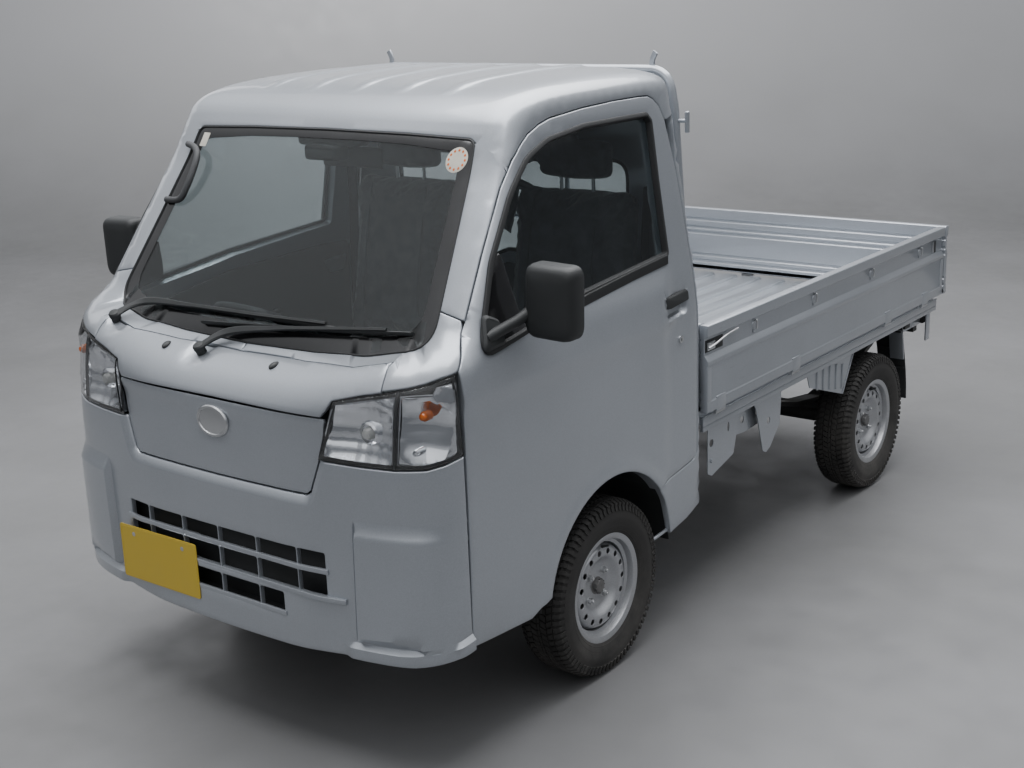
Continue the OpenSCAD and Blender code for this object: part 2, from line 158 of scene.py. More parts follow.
def both(half):
    """Closed outline, mirrored, from a half one that starts and ends on the centre line."""
    h = np.asarray(half, float)
    m = h[::-1].copy()
    m[:, 0] *= -1
    return np.vstack([h, m[1:-1]] if abs(h[0, 0]) < 1e-6 and abs(h[-1, 0]) < 1e-6 else [h, m])


# ---------- the cab's rounded skin ----------

NOSE = CAD_BOX[0][1] / MM
BACK = -318.0

GLASS_LINE = np.vstack([
    [[NOSE + 100, 0], [NOSE + 100, 1013]],
    spline([[-1578, 1013], [-1538, 1072], [-1349, 1349.5], [-1160, 1627], [-1118, 1676], [-1050, 1710],
            [-940, 1737], [-800, 1751], [-640, 1758], [-460, 1753], [-380, 1740], [-338, 1716],
            [BACK, 1672], [BACK, 1500]]),
    [[BACK, 0]],
])
NOSE_TOP = np.vstack([
    [[NOSE - 300, 850], [NOSE - 60, 962]],
    spline([[NOSE + 30, 1006], [NOSE + 90, 1035], [NOSE + 160, 1066], [NOSE + 260, 1085],
            [NOSE + 420, 1098]]),
    [[BACK - 200, 1098], [BACK - 200, 0], [NOSE - 300, 0]],
])
LEAN = np.array([[600, 0], [700, 0], [780, 1], [880, 6], [945, 13], [1000, 22], [1100, 44], [1300, 90]])
SECTION = both(np.vstack([
    [[0, 0], [737.5, 0]],
    spline([[737.5, 900], [737.5, 985], [731, 1050], [690, 1290], [629, 1650], [618, 1692], [596, 1718],
            [552, 1737], [458, 1751], [250, 1759], [0, 1762]]),
]))
PLAN = both(np.vstack([
    spline([[0, NOSE], [160, NOSE + 1.5], [300, NOSE + 7], [480, NOSE + 31], [600, NOSE + 58],
            [672, NOSE + 90], [714, NOSE + 128], [738, NOSE + 170], [754, NOSE + 225],
            [762, NOSE + 300]]),
    [[762, -400], [757, -345], [742, -326], [716, BACK], [0, BACK]],
]))


def round_off(r, *fields):
    """Overlap of solids with its edges rounded by r."""
    s, m = 0, None
    for f in fields:
        g = f + r
        s = s + np.maximum(g, 0) ** 2
        m = g if m is None else np.maximum(m, g)
    return np.sqrt(s) + np.minimum(m, 0) - r


def skin_field(p):
    """Distance to the cab's skin, negative inside."""
    x, y, z = p.T
    sec = outline_distance(x, z, SECTION)
    plan = outline_distance(x, y, PLAN)
    bow = 26 * (x / 612.0) ** 2 * smooth((1700 - z) / 200.0) * smooth((-900 - y) / 300.0)
    upper = round_off(46, outline_distance(y - bow, z, GLASS_LINE), sec, plan)
    ax = np.abs(x)
    rise = 52 * (np.minimum(ax, 560 + (ax - 560) * 0.2) / 612.0) ** 2.2 * smooth((z - 880) / 120.0)
    front = outline_distance(x, y - np.interp(z, LEAN[:, 0], LEAN[:, 1]), PLAN)
    nose = round_off(56, outline_distance(y, z - rise, NOSE_TOP), round_off(14, sec, front))
    soft = 14 + 46 * smooth((ax - 585) / 60.0) * smooth((z - 960) / 60.0)
    h = np.clip(0.5 + 0.5 * (nose - upper) / soft, 0, 1)
    return nose * (1 - h) + upper * h - soft * h * (1 - h)


def skin_normal(p, e=1.5):
    g = [skin_field(p + np.eye(3)[k] * e) - skin_field(p - np.eye(3)[k] * e) for k in range(3)]
    return unit(np.array(g).T)


def cast(start, way):
    """Where lines from outside meet the skin."""
    start = np.atleast_2d(np.asarray(start, float))
    way = unit(np.broadcast_to(np.asarray(way, float), start.shape))
    t = np.zeros(len(start))
    live = np.arange(len(start))
    for _ in range(70):
        d = skin_field(start[live] + way[live] * t[live, None])
        t[live] += d * 0.92
        live = live[np.abs(d) > 0.01]
        if not len(live):
            break
    return start + way * t[:, None]


def on_front(xz):
    xz = np.asarray(xz, float)
    return cast(np.column_stack([xz[:, 0], np.full(len(xz), -1760.0), xz[:, 1]]), (0, 1, 0))


def on_side(yz, side=1):
    yz = np.asarray(yz, float)
    return cast(np.column_stack([np.full(len(yz), 800.0 * side), yz]), (-side, 0, 0))


def on_top(xy):
    xy = np.asarray(xy, float)
    return cast(np.column_stack([xy, np.full(len(xy), 1900.0)]), (0, 0, -1))


def on_back(xz):
    xz = np.asarray(xz, float)
    return cast(np.column_stack([xz[:, 0], np.full(len(xz), -250.0), xz[:, 1]]), (0, -1, 0))


class Chart:
    """Flat map of part of the skin, seen along one way or out from a centre."""

    def __init__(self, main, centre=None, far=1250.0):
        self.main = unit(main)
        self.up = unit(np.array([0, 1, 0]) if abs(self.main[2]) > 0.9 else np.array([0, 0, 1])
                       - self.main * self.main[2])
        self.right = np.cross(self.up, self.main)
        self.centre = None if centre is None else np.array(centre, float)
        self.far = far

    def flat(self, p):
        if self.centre is None:
            return np.column_stack([p @ self.right, p @ self.up])
        d = p - self.centre
        w = d @ self.main
        return np.column_stack([d @ self.right / w, d @ self.up / w]) * 700

    def cast(self, uv):
        if self.centre is None:
            o = uv[:, :1] * self.right + uv[:, 1:] * self.up
            return cast(o + self.main * (self.far - 400), -self.main)
        way = unit(self.main + (uv[:, :1] * self.right + uv[:, 1:] * self.up) / 700)
        return cast(self.centre + way * self.far, -way)


def signed_area(p):
    q = np.roll(p, -1, axis=0)
    return 0.5 * (p[:, 0] * q[:, 1] - q[:, 0] * p[:, 1]).sum()


def shell(top, tris, back):
    """Closed solid from a sheet of triangles and the points of its back."""
    n = len(top)
    tris = np.asarray(tris)
    edges = np.vstack([tris[:, [0, 1]], tris[:, [1, 2]], tris[:, [2, 0]]])
    seen = {(a, b) for a, b in edges.tolist()}
    rim = [(a, b) for a, b in edges.tolist() if (b, a) not in seen]
    faces = tris.tolist() + (tris[:, ::-1] + n).tolist() + [[b, a, a + n, b + n] for a, b in rim]
    return np.vstack([top, back]), faces


def fill(loops, extra, keep_lines=()):
    """Triangles between an outer loop and its holes in the plane, through extra points."""
    pts, cons = [], []
    for loop in loops:
        s = len(pts)
        pts += loop.tolist()
        cons += [(s + i, s + (i + 1) % len(loop)) for i in range(len(loop))]
    for line in keep_lines:
        s = len(pts)
        pts += line.tolist()
        cons += [(s + i, s + i + 1) for i in range(len(line) - 1)]
    pts += np.asarray(extra).reshape(-1, 2).tolist()
    v, _, f, origin, _, _ = delaunay_2d_cdt([Vector(p) for p in pts], cons, [], 0, 1e-4, True)
    v = np.array([list(a) for a in v])
    f = np.array([list(t) for t in f if len(t) == 3])
    mid = v[f].mean(1)
    inside = outline_distance(mid[:, 0], mid[:, 1], loops[0]) < 0
    for hole in loops[1:]:
        inside &= outline_distance(mid[:, 0], mid[:, 1], hole) > 0
    f = f[inside]
    a, b, c = v[f[:, 0]], v[f[:, 1]], v[f[:, 2]]
    turn = (b - a)[:, 0] * (c - a)[:, 1] - (b - a)[:, 1] * (c - a)[:, 0]
    f[turn < 0] = f[turn < 0][:, ::-1]
    return v, f[np.abs(turn) > 1e-6], [o[0] if o else -1 for o in origin]


def panel(chart, outline, holes=(), roll=3.5, gap=0.0, thick=12.0, depth=0.0, grid=26.0, step=16.0,
          lift=None, lines=()):
    """Sheet that follows the skin inside an outline on it, with its own thickness and edges
    that roll inwards. outline and holes are (n, 3) points, or (points, roll) with a roll for
    each point; lines are creases that the mesh keeps."""
    loops, sinks = [], []
    ring_pts, ring_sink, ring_need = [], [], []
    for k, item in enumerate([outline, *holes]):
        p, r = item if isinstance(item, tuple) else (item, roll)
        r = np.broadcast_to(np.asarray(r, float), (len(p),))
        both_ = densify(np.column_stack([p, r]), step)
        p, r = both_[:, :3], both_[:, 3]
        flat = chart.flat(p)
        if (signed_area(flat) > 0) != (k == 0):
            p, r, flat = p[::-1], r[::-1], flat[::-1]
        n = skin_normal(p)
        along = unit(np.roll(p, -1, axis=0) - p) + unit(p - np.roll(p, 1, axis=0))
        turn = np.linalg.norm(along, axis=1, keepdims=True) / 2
        inward = np.cross(n, unit(along)) / np.maximum(turn, 0.5)
        rolled = r > 0.01
        g = np.where(rolled, gap, 0.0)
        width = np.where(rolled, r, 4.0)
        for share, sink in ((0.0, 1.0), (0.13, 0.507), (0.5, 0.134), (1.0, 0.0)):
            at = p + inward * (g + width * share)[:, None]
            down = np.where(rolled, r * sink, 0.0)
            if share == 0.0:
                loops.append(chart.flat(at))
                sinks.append(down)
            else:
                ring_pts.append(chart.flat(at))
                ring_sink.append(down)
                ring_need.append(width * share)
    keep = [chart.flat(densify(line, step, closed=False)) for line in lines]
    low, high = loops[0].min(0), loops[0].max(0)
    cols = np.arange(low[0], high[0], grid)
    rows = np.arange(low[1], high[1], grid * 0.87)
    mesh = np.array([[c + (grid / 2 if j % 2 else 0), r] for j, r in enumerate(rows) for c in cols])

    def clear(q, need):
        ok = outline_distance(q[:, 0], q[:, 1], loops[0]) < -need
        for hole in loops[1:]:
            ok &= outline_distance(q[:, 0], q[:, 1], hole) > need
        return ok

    rp, rs, rn = np.vstack(ring_pts), np.concatenate(ring_sink), np.concatenate(ring_need)
    good = clear(rp, rn * 0.45)
    rp, rs = rp[good], rs[good]
    wide = max(float(np.max(rn)), 1.0)
    mesh = mesh[clear(mesh, wide + grid * 0.3)]
    if keep and len(mesh):
        marks = np.vstack(keep)
        far = np.ones(len(mesh), bool)
        for s in range(0, len(mesh), 3000):
            d = np.abs(mesh[s:s + 3000, None] - marks[None]).max(2).min(1)
            far[s:s + 3000] = d > grid * 0.3
        mesh = mesh[far]
    flat, tris, origin = fill(loops, np.vstack([rp, mesh]), keep)
    marks = sum(len(a) for a in keep)
    sink = np.concatenate(sinks + [np.zeros(marks), rs, np.zeros(len(mesh))])
    down = np.array([sink[o] if o >= 0 else 0.0 for o in origin])
    used = np.unique(tris)
    back_of = -np.ones(len(flat), int)
    back_of[used] = np.arange(len(used))
    flat, down, tris = flat[used], down[used], back_of[tris]
    p = chart.cast(flat)
    n = skin_normal(p)
    if lift is not None:
        p = p + n * lift(p)[:, None]
    top = p - n * (depth + down)[:, None]
    return shell(top, tris, p - n * (depth + np.maximum(thick, down + 1))[:, None])


# ---------- other solids ----------


class Shape:
    """Points and faces gathered for one object; each face has a material number."""

    def __init__(self):
        self.v, self.f, self.m, self.n = [], [], [], 0

    def add(self, solid, mat=0, mirror=False):
        v, f = solid
        v = np.array(v, float)
        f = [list(a) for a in f]
        if mirror:
            v = v * [-1, 1, 1]
            f = [a[::-1] for a in f]
        self.v.append(v)
        self.f += [[i + self.n for i in a] for a in f]
        self.m += [mat] * len(f)
        self.n += len(v)
        return self

    def pair(self, solid, mat=0):
        return self.add(solid, mat).add(solid, mat, mirror=True)


def from_bmesh(bm):
    bm.verts.index_update()
    out = (np.array([list(v.co) for v in bm.verts]), [[v.index for v in f.verts] for f in bm.faces])
    bm.free()
    return out


def soften(solid, width, segments=2, angle=28):
    """Bevel every edge sharper than angle."""
    bm = bmesh.new()
    vs = [bm.verts.new(p) for p in solid[0]]
    for f in solid[1]:
        bm.faces.new([vs[i] for i in f])
    bmesh.ops.recalc_face_normals(bm, faces=bm.faces)
    edges = [e for e in bm.edges if len(e.link_faces) == 2 and e.calc_face_angle() > math.radians(angle)]
    bmesh.ops.bevel(bm, geom=edges, offset=width, segments=segments, profile=0.5, affect="EDGES",
                    clamp_overlap=True)
    return from_bmesh(bm)


def prism(outline, axis, a, b, bevel=1.5, segments=2):
    """Closed outline drawn along an axis from a to b. Axis x takes (y, z) points, y takes
    (x, z) and z takes (x, y)."""
    p = np.asarray(outline, float)
    if signed_area(p) < 0:
        p = p[::-1]
    k = "xyz".index(axis)
    rows = []
    for h in (a, b):
        q = np.insert(p, k, h, axis=1)
        rows.append(q)
    n = len(p)
    v = np.vstack(rows)
    f = [list(range(n))[::-1], list(range(n, 2 * n))]
    f += [[i, (i + 1) % n, (i + 1) % n + n, i + n] for i in range(n)]
    if axis == "y":
        f = [a_[::-1] for a_ in f]
    solid = (v, f)
    return soften(solid, bevel, segments) if bevel else solid


def slab(low, high, bevel=2.0, segments=2):
    return prism([[low[0], low[1]], [high[0], low[1]], [high[0], high[1]], [low[0], high[1]]],
                 "z", low[2], high[2], bevel, segments)


def lathe(profile, centre, axis="x", turns=96, closed=True):
    """Ring from (along, radius) points turned round an axis."""
    p = np.asarray(profile, float)
    n = len(p)
    k = "xyz".index(axis)
    i1, i2 = (k + 1) % 3, (k + 2) % 3
    ang = np.arange(turns) * 2 * math.pi / turns
    v = np.zeros((turns, n, 3))
    v[:, :, k] = p[:, 0]
    v[:, :, i1] = np.cos(ang)[:, None] * p[:, 1]
    v[:, :, i2] = np.sin(ang)[:, None] * p[:, 1]
    v = v.reshape(-1, 3) + np.asarray(centre, float)
    f = []
    for t in range(turns):
        u = (t + 1) % turns
        for j in range(n if closed else n - 1):
            w = (j + 1) % n
            f.append([t * n + j, t * n + w, u * n + w, u * n + j])
    return v, f


def frames_along(path, closed=False):
    """Directions across a path that don't twist."""
    p = np.asarray(path, float)
    t = unit(np.roll(p, -1, 0) - np.roll(p, 1, 0)) if closed else unit(np.gradient(p, axis=0))
    ref = np.array([0, 0, 1.0]) if abs(t[0][2]) < 0.9 else np.array([1.0, 0, 0])
    side = unit(np.cross(t[0], ref))
    out = []
    for k in range(len(p)):
        side = unit(side - t[k] * np.dot(side, t[k]))
        out.append((side, np.cross(t[k], side)))
    return p, t, out


def tube(path, radius, sides=16, closed=False):
    """Round bar along a path; radius is one number or one for each point."""
    p, t, fr = frames_along(path, closed)
    r = np.broadcast_to(np.asarray(radius, float), (len(p),))
    ang = np.arange(sides) * 2 * math.pi / sides
    v = [p[k] + r[k] * (math.cos(a) * fr[k][0] + math.sin(a) * fr[k][1]) for k in range(len(p)) for a in ang]
    f = []
    n = len(p)
    for k in range(n if closed else n - 1):
        m = (k + 1) % n
        for j in range(sides):
            i = (j + 1) % sides
            f.append([k * sides + j, k * sides + i, m * sides + i, m * sides + j])
    if not closed:
        # a small dome at each end
        for k, way in ((0, -1), (n - 1, 1)):
            base = len(v)
            ring = [p[k] + t[k] * way * r[k] * 0.28 + 0.72 * (np.array(v[k * sides + j]) - p[k])
                    for j in range(sides)]
            v += ring + [p[k] + t[k] * way * r[k] * 0.4]
            for j in range(sides):
                i = (j + 1) % sides
                q = [k * sides + j, base + j, base + i, k * sides + i]
                f.append(q[::-1] if way > 0 else q)
                c = [base + j, base + sides, base + i]
                f.append(c[::-1] if way > 0 else c)
    return np.array(v), f


def sweep(path, across, closed=False):
    """Closed cross-section (side, up) drawn along a path, capped at the ends."""
    p, _, fr = frames_along(path, closed)
    c = np.asarray(across, float)
    m = len(c)
    v = [p[k] + a * fr[k][0] + b * fr[k][1] for k in range(len(p)) for a, b in c]
    f = []
    n = len(p)
    for k in range(n if closed else n - 1):
        w = (k + 1) % n
        f += [[k * m + j, k * m + (j + 1) % m, w * m + (j + 1) % m, w * m + j] for j in range(m)]
    if not closed:
        f += [list(range(m))[::-1], [(n - 1) * m + j for j in range(m)]]
    return np.array(v), f


def turned(solid, centre, axis, degrees):
    m = np.array(Matrix.Rotation(math.radians(degrees), 3, Vector(axis)))
    return (np.asarray(solid[0]) - centre) @ m.T + centre, solid[1]


def piece(name, shape, materials, body=BODY, replaces=(), slot=None, sharp=34):
    """Blender object from a Shape, with smooth shading, riding on its body."""
    me = bpy.data.meshes.new(name)
    v = np.vstack(shape.v) * MM
    me.from_pydata(v.tolist(), [], shape.f)
    me.polygons.foreach_set("material_index", shape.m)
    bm = bmesh.new()
    bm.from_mesh(me)
    bmesh.ops.remove_doubles(bm, verts=bm.verts, dist=2e-6)
    bmesh.ops.dissolve_degenerate(bm, edges=bm.edges, dist=1e-6)
    bmesh.ops.recalc_face_normals(bm, faces=bm.faces)
    bm.to_mesh(me)
    bm.free()
    for m in materials:
        me.materials.append(m)
    me.polygons.foreach_set("use_smooth", [True] * len(me.polygons))
    me.set_sharp_from_angle(angle=math.radians(sharp))
    me.update()
    ob = bpy.data.objects.new(name, me)
    bpy.context.scene.collection.objects.link(ob)
    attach(ob, body)
    if replaces:
        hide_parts(*replaces)
    return ob


# ---------- sizes and colours a user may change ----------


class TruckPanels(bpy.types.PropertyGroup):
    gap: FloatProperty(name="Panel gap", description="Half of the gap between two panels", default=0.0024,
                       min=0.0, max=0.006, subtype="DISTANCE", unit="LENGTH")
    edge: FloatProperty(name="Edge roll", description="Radius of a panel's rolled edge", default=0.0042,
                        min=0.001, max=0.01, subtype="DISTANCE", unit="LENGTH")
    roof_ribs: IntProperty(name="Roof ribs", description="Pressed ribs along the roof", default=5, min=1, max=9)
    rib_height: FloatProperty(name="Rib height", description="Height of a roof rib", default=0.0055,
                              min=0.0, max=0.012, subtype="DISTANCE", unit="LENGTH")


class TruckBed(bpy.types.PropertyGroup):
    floor_ribs: IntProperty(name="Floor ribs", description="Ribs along the bed floor", default=11, min=3, max=17)
    rib_pitch: FloatProperty(name="Rib pitch", description="Distance between floor ribs", default=0.119,
                             min=0.05, max=0.2, subtype="DISTANCE", unit="LENGTH")
    rib_height: FloatProperty(name="Floor rib height", description="Height of a floor rib", default=0.009,
                              min=0.002, max=0.015, subtype="DISTANCE", unit="LENGTH")


class TruckWheels(bpy.types.PropertyGroup):
    tread_blocks: IntProperty(name="Tread blocks", description="Shoulder blocks round a tyre", default=78,
                              min=30, max=90)
    groove: FloatProperty(name="Groove depth", description="Depth of the tread", default=0.005,
                          min=0.002, max=0.012, subtype="DISTANCE", unit="LENGTH")
    vents: IntProperty(name="Vent holes", description="Round holes in a wheel disc", default=15, min=5, max=20)
    nuts: IntProperty(name="Wheel nuts", description="Nuts on a wheel", default=4, min=3, max=6)


class TruckFinish(bpy.types.PropertyGroup):
    paint: FloatVectorProperty(name="Paint", description="Body paint", subtype="COLOR", size=3,
                               default=(0.40, 0.425, 0.46), min=0.0, max=1.0)
    plastic: FloatVectorProperty(name="Plastic", description="Bare black plastic", subtype="COLOR", size=3,
                                 default=(0.022, 0.024, 0.025), min=0.0, max=1.0)
    cloth: FloatVectorProperty(name="Seat cloth", description="Seat covers", subtype="COLOR", size=3,
                               default=(0.075, 0.078, 0.085), min=0.0, max=1.0)
    plate: FloatVectorProperty(name="Plate", description="Blank number plates", subtype="COLOR", size=3,
                               default=(0.60, 0.42, 0.03), min=0.0, max=1.0)


GROUPS = (("truck_panels", TruckPanels), ("truck_bed", TruckBed), ("truck_wheels", TruckWheels),
          ("truck_finish", TruckFinish))


def setting(group):
    return getattr(bpy.context.scene, group)


# ---------- finishes ----------


def new_group(name, inputs, outputs):
    g = bpy.data.node_groups.new(name, "ShaderNodeTree")
    for label, kind, value in inputs:
        s = g.interface.new_socket(label, in_out="INPUT", socket_type=kind)
        s.default_value = value
    for label, kind in outputs:
        g.interface.new_socket(label, in_out="OUTPUT", socket_type=kind)
    return g, g.nodes.new("NodeGroupInput"), g.nodes.new("NodeGroupOutput")


def node(tree, kind, links=(), **values):
    n = tree.nodes.new(kind)
    for k, v in values.items():
        if hasattr(n, k) and k not in ("scale",):
            setattr(n, k, v)
    for sock, src in links:
        if hasattr(src, "is_output"):
            tree.links.new(src, n.inputs[sock])
        else:
            n.inputs[sock].default_value = src
    return n


def out(n, name=0):
    return n.outputs[name]


def math_node(tree, op, a, b=0.0, clamp=False):
    n = tree.nodes.new("ShaderNodeMath")
    n.operation = op
    n.use_clamp = clamp
    for i, s in enumerate((a, b)):
        if hasattr(s, "is_output"):
            tree.links.new(s, n.inputs[i])
        else:
            n.inputs[i].default_value = s
    return n.outputs[0]


def noise(tree, coords, scale, detail=3.0, rough=0.5):
    return node(tree, "ShaderNodeTexNoise", [("Vector", coords), ("Scale", scale), ("Detail", detail),
                                             ("Roughness", rough)]).outputs[0]


def remap(tree, value, lo, hi, a=0.0, b=1.0):
    n = node(tree, "ShaderNodeMapRange", [("Value", value), ("From Min", lo), ("From Max", hi), ("To Min", a),
                                          ("To Max", b)])
    return n.outputs[0]


def blend_colour(tree, factor, a, b):
    n = tree.nodes.new("ShaderNodeMix")
    n.data_type = "RGBA"
    for i, s in ((0, factor), (6, a), (7, b)):
        if hasattr(s, "is_output"):
            tree.links.new(s, n.inputs[i])
        else:
            n.inputs[i].default_value = (*s, 1.0) if i else s
    return n.outputs[2]


def build_groups():
    """The effects that several finishes share."""
    coords = "ShaderNodeTexCoord"
    # metal flakes and the faint ripple of sprayed paint
    g, i, o = new_group("Flake", [("Colour", "NodeSocketColor", (0.5, 0.5, 0.5, 1)),
                                  ("Sparkle", "NodeSocketFloat", 0.25), ("Ripple", "NodeSocketFloat", 0.3)],
                        [("Colour", "NodeSocketColor"), ("Height", "NodeSocketFloat")])
    c = out(g.nodes.new(coords), "Object")
    cells = node(g, "ShaderNodeTexVoronoi", [("Vector", c), ("Scale", 900.0)])
    dots = math_node(g, "MULTIPLY", math_node(g, "SUBTRACT", cells.outputs["Color"], 0.5), out(i, "Sparkle"))
    cloud = remap(g, noise(g, c, 2.2, 4.0), 0.3, 0.7, -0.05, 0.05)
    value = math_node(g, "ADD", math_node(g, "ADD", dots, cloud), 1.0)
    tint = node(g, "ShaderNodeVectorMath", [(0, out(i, "Colour"))], operation="SCALE")
    g.links.new(value, tint.inputs["Scale"])
    g.links.new(tint.outputs[0], o.inputs["Colour"])
    wave = math_node(g, "MULTIPLY", noise(g, c, 70.0, 1.0), out(i, "Ripple"))
    g.links.new(wave, o.inputs["Height"])
    # road dust, thick near the ground and in soft patches
    g, i, o = new_group("Dust", [("Top", "NodeSocketFloat", 0.5), ("Amount", "NodeSocketFloat", 0.3)],
                        [("Mask", "NodeSocketFloat")])
    c = out(g.nodes.new(coords), "Object")
    z = out(node(g, "ShaderNodeSeparateXYZ", [("Vector", c)]), "Z")
    low = math_node(g, "SUBTRACT", 1.0, math_node(g, "DIVIDE", z, out(i, "Top")), True)
    patch = remap(g, noise(g, c, 5.0, 6.0, 0.65), 0.35, 0.75)
    fine = remap(g, noise(g, c, 90.0, 2.0), 0.3, 0.8, 0.6, 1.0)
    m = math_node(g, "MULTIPLY", math_node(g, "MULTIPLY", low, patch), fine)
    g.links.new(math_node(g, "MULTIPLY", m, out(i, "Amount"), True), o.inputs["Mask"])
    # moulded grain of plastic and rubber
    g, i, o = new_group("Grain", [("Scale", "NodeSocketFloat", 700.0), ("Depth", "NodeSocketFloat", 1.0)],
                        [("Height", "NodeSocketFloat"), ("Patch", "NodeSocketFloat")])
    c = out(g.nodes.new(coords), "Object")
    cells = node(g, "ShaderNodeTexVoronoi", [("Vector", c), ("Scale", out(i, "Scale"))])
    soft = noise(g, c, 260.0, 3.0)
    h = math_node(g, "ADD", math_node(g, "MULTIPLY", cells.outputs["Distance"], out(i, "Depth")),
                  math_node(g, "MULTIPLY", soft, 0.4))
    g.links.new(h, o.inputs["Height"])
    g.links.new(remap(g, noise(g, c, 9.0, 5.0), 0.3, 0.7), o.inputs["Patch"])
    # fine scratches and scuffs of handled metal
    g, i, o = new_group("Scuffs", [("Scale", "NodeSocketFloat", 60.0), ("Amount", "NodeSocketFloat", 0.5)],
                        [("Mask", "NodeSocketFloat")])
    c = out(g.nodes.new(coords), "Object")
    m = node(g, "ShaderNodeMapping", [("Vector", c), ("Scale", (1.0, 0.12, 1.6))])
    a = noise(g, out(m), 1.0, 8.0, 0.7)
    g.links.new(math_node(g, "MULTIPLY", out(i, "Scale"), 1.0), a.node.inputs["Scale"])
    b = remap(g, noise(g, c, 7.0, 4.0), 0.45, 0.7)
    line = remap(g, a, 0.60, 0.68)
    g.links.new(math_node(g, "MULTIPLY", math_node(g, "MULTIPLY", line, b), out(i, "Amount"), True),
                o.inputs["Mask"])
    # woven cloth: two sets of threads
    g, i, o = new_group("Weave", [("Pitch", "NodeSocketFloat", 1800.0)],
                        [("Height", "NodeSocketFloat"), ("Shade", "NodeSocketFloat")])
    c = out(g.nodes.new(coords), "Object")
    parts = node(g, "ShaderNodeSeparateXYZ", [("Vector", c)])
    run = math_node(g, "ADD", parts.outputs["Y"], parts.outputs["Z"])
    warp = math_node(g, "SINE", math_node(g, "MULTIPLY", parts.outputs["X"], out(i, "Pitch")))
    weft = math_node(g, "SINE", math_node(g, "MULTIPLY", run, out(i, "Pitch")))
    h = math_node(g, "ADD", math_node(g, "MULTIPLY", warp, weft), noise(g, c, 900.0, 2.0))
    g.links.new(h, o.inputs["Height"])
    g.links.new(remap(g, noise(g, c, 22.0, 5.0, 0.6), 0.3, 0.7, 0.75, 1.2), o.inputs["Shade"])


def place_group(tree, name, **values):
    n = tree.nodes.new("ShaderNodeGroup")
    n.node_tree = bpy.data.node_groups[name]
    for k, v in values.items():
        n.inputs[k].default_value = (*v, 1.0) if isinstance(v, tuple) and len(v) == 3 else v
    return n


def finish(name, colour, rough=0.5, metal=0.0, **extra):
    """Material with its Principled shader; returns the tree and the shader."""
    m = bpy.data.materials.new(name)
    m.use_nodes = True
    m.diffuse_color = (*colour, 1)
    bsdf = m.node_tree.nodes["Principled BSDF"]
    bsdf.inputs["Base Color"].default_value = (*colour, 1)
    bsdf.inputs["Roughness"].default_value = rough
    bsdf.inputs["Metallic"].default_value = metal
    for k, v in extra.items():
        bsdf.inputs[k.replace("_", " ")].default_value = v
    return m, m.node_tree, bsdf


def bump(tree, bsdf, height, strength=0.3, distance=0.0005):
    b = node(tree, "ShaderNodeBump", [("Height", height), ("Strength", strength), ("Distance", distance)])
    tree.links.new(b.outputs[0], bsdf.inputs["Normal"])


def paint_finish(name, colour, rough=0.32, metal=0.55, coat=0.7, dust=0.35, top=0.55, sparkle=0.22, scuff=0.0):
    m, t, b = finish(name, colour, rough, metal, Coat_Weight=coat, Coat_Roughness=0.06)
    flake = place_group(t, "Flake", Colour=tuple(colour), Sparkle=sparkle, Ripple=0.35)
    grime = place_group(t, "Dust", Top=top, Amount=dust)
    col = blend_colour(t, grime.outputs[0], flake.outputs["Colour"], (0.20, 0.185, 0.16))
    r = remap(t, grime.outputs[0], 0.0, 1.0, rough, 0.85)
    if scuff:
        s = place_group(t, "Scuffs", Scale=70.0, Amount=scuff)
        col = blend_colour(t, s.outputs[0], col, tuple(c * 0.55 for c in colour))
        r = math_node(t, "ADD", r, math_node(t, "MULTIPLY", s.outputs[0], 0.25))
    t.links.new(col, b.inputs["Base Color"])
    t.links.new(r, b.inputs["Roughness"])
    bump(t, b, flake.outputs["Height"], 0.12, 0.0002)
    return m


def plastic_finish(name, colour, rough=0.55, scale=900.0, depth=1.0, strength=0.25, dust=0.2, top=0.6, **extra):
    m, t, b = finish(name, colour, rough, 0.0, **extra)
    g = place_group(t, "Grain", Scale=scale, Depth=depth)
    grime = place_group(t, "Dust", Top=top, Amount=dust)
    shade = blend_colour(t, g.outputs["Patch"], tuple(c * 0.85 for c in colour), tuple(c * 1.15 for c in colour))
    t.links.new(blend_colour(t, grime.outputs[0], shade, (0.16, 0.15, 0.135)), b.inputs["Base Color"])
    t.links.new(remap(t, g.outputs["Patch"], 0.0, 1.0, rough - 0.05, rough + 0.08), b.inputs["Roughness"])
    bump(t, b, g.outputs["Height"], strength, 0.0004)
    return m


def metal_finish(name, colour, rough=0.35, metal=1.0, amount=0.6, dust=0.3, top=0.6):
    m, t, b = finish(name, colour, rough, metal)
    s = place_group(t, "Scuffs", Scale=90.0, Amount=amount)
    grime = place_group(t, "Dust", Top=top, Amount=dust)
    col = blend_colour(t, s.outputs[0], colour, tuple(c * 0.6 for c in colour))
    t.links.new(blend_colour(t, grime.outputs[0], col, (0.15, 0.13, 0.11)), b.inputs["Base Color"])
    t.links.new(remap(t, s.outputs[0], 0.0, 1.0, rough, rough + 0.3), b.inputs["Roughness"])
    g = place_group(t, "Grain", Scale=420.0, Depth=0.5)
    bump(t, b, g.outputs["Height"], 0.12, 0.0004)
    return m


def glass_finish(name, colour, rough=0.015, ior=1.45):
    m, t, b = finish(name, colour, rough, 0.0, Transmission_Weight=1.0, IOR=ior)
    g = place_group(t, "Grain", Scale=35.0, Depth=0.4)
    t.links.new(remap(t, g.outputs["Patch"], 0.3, 1.0, 0.0, rough), b.inputs["Roughness"])
    return m


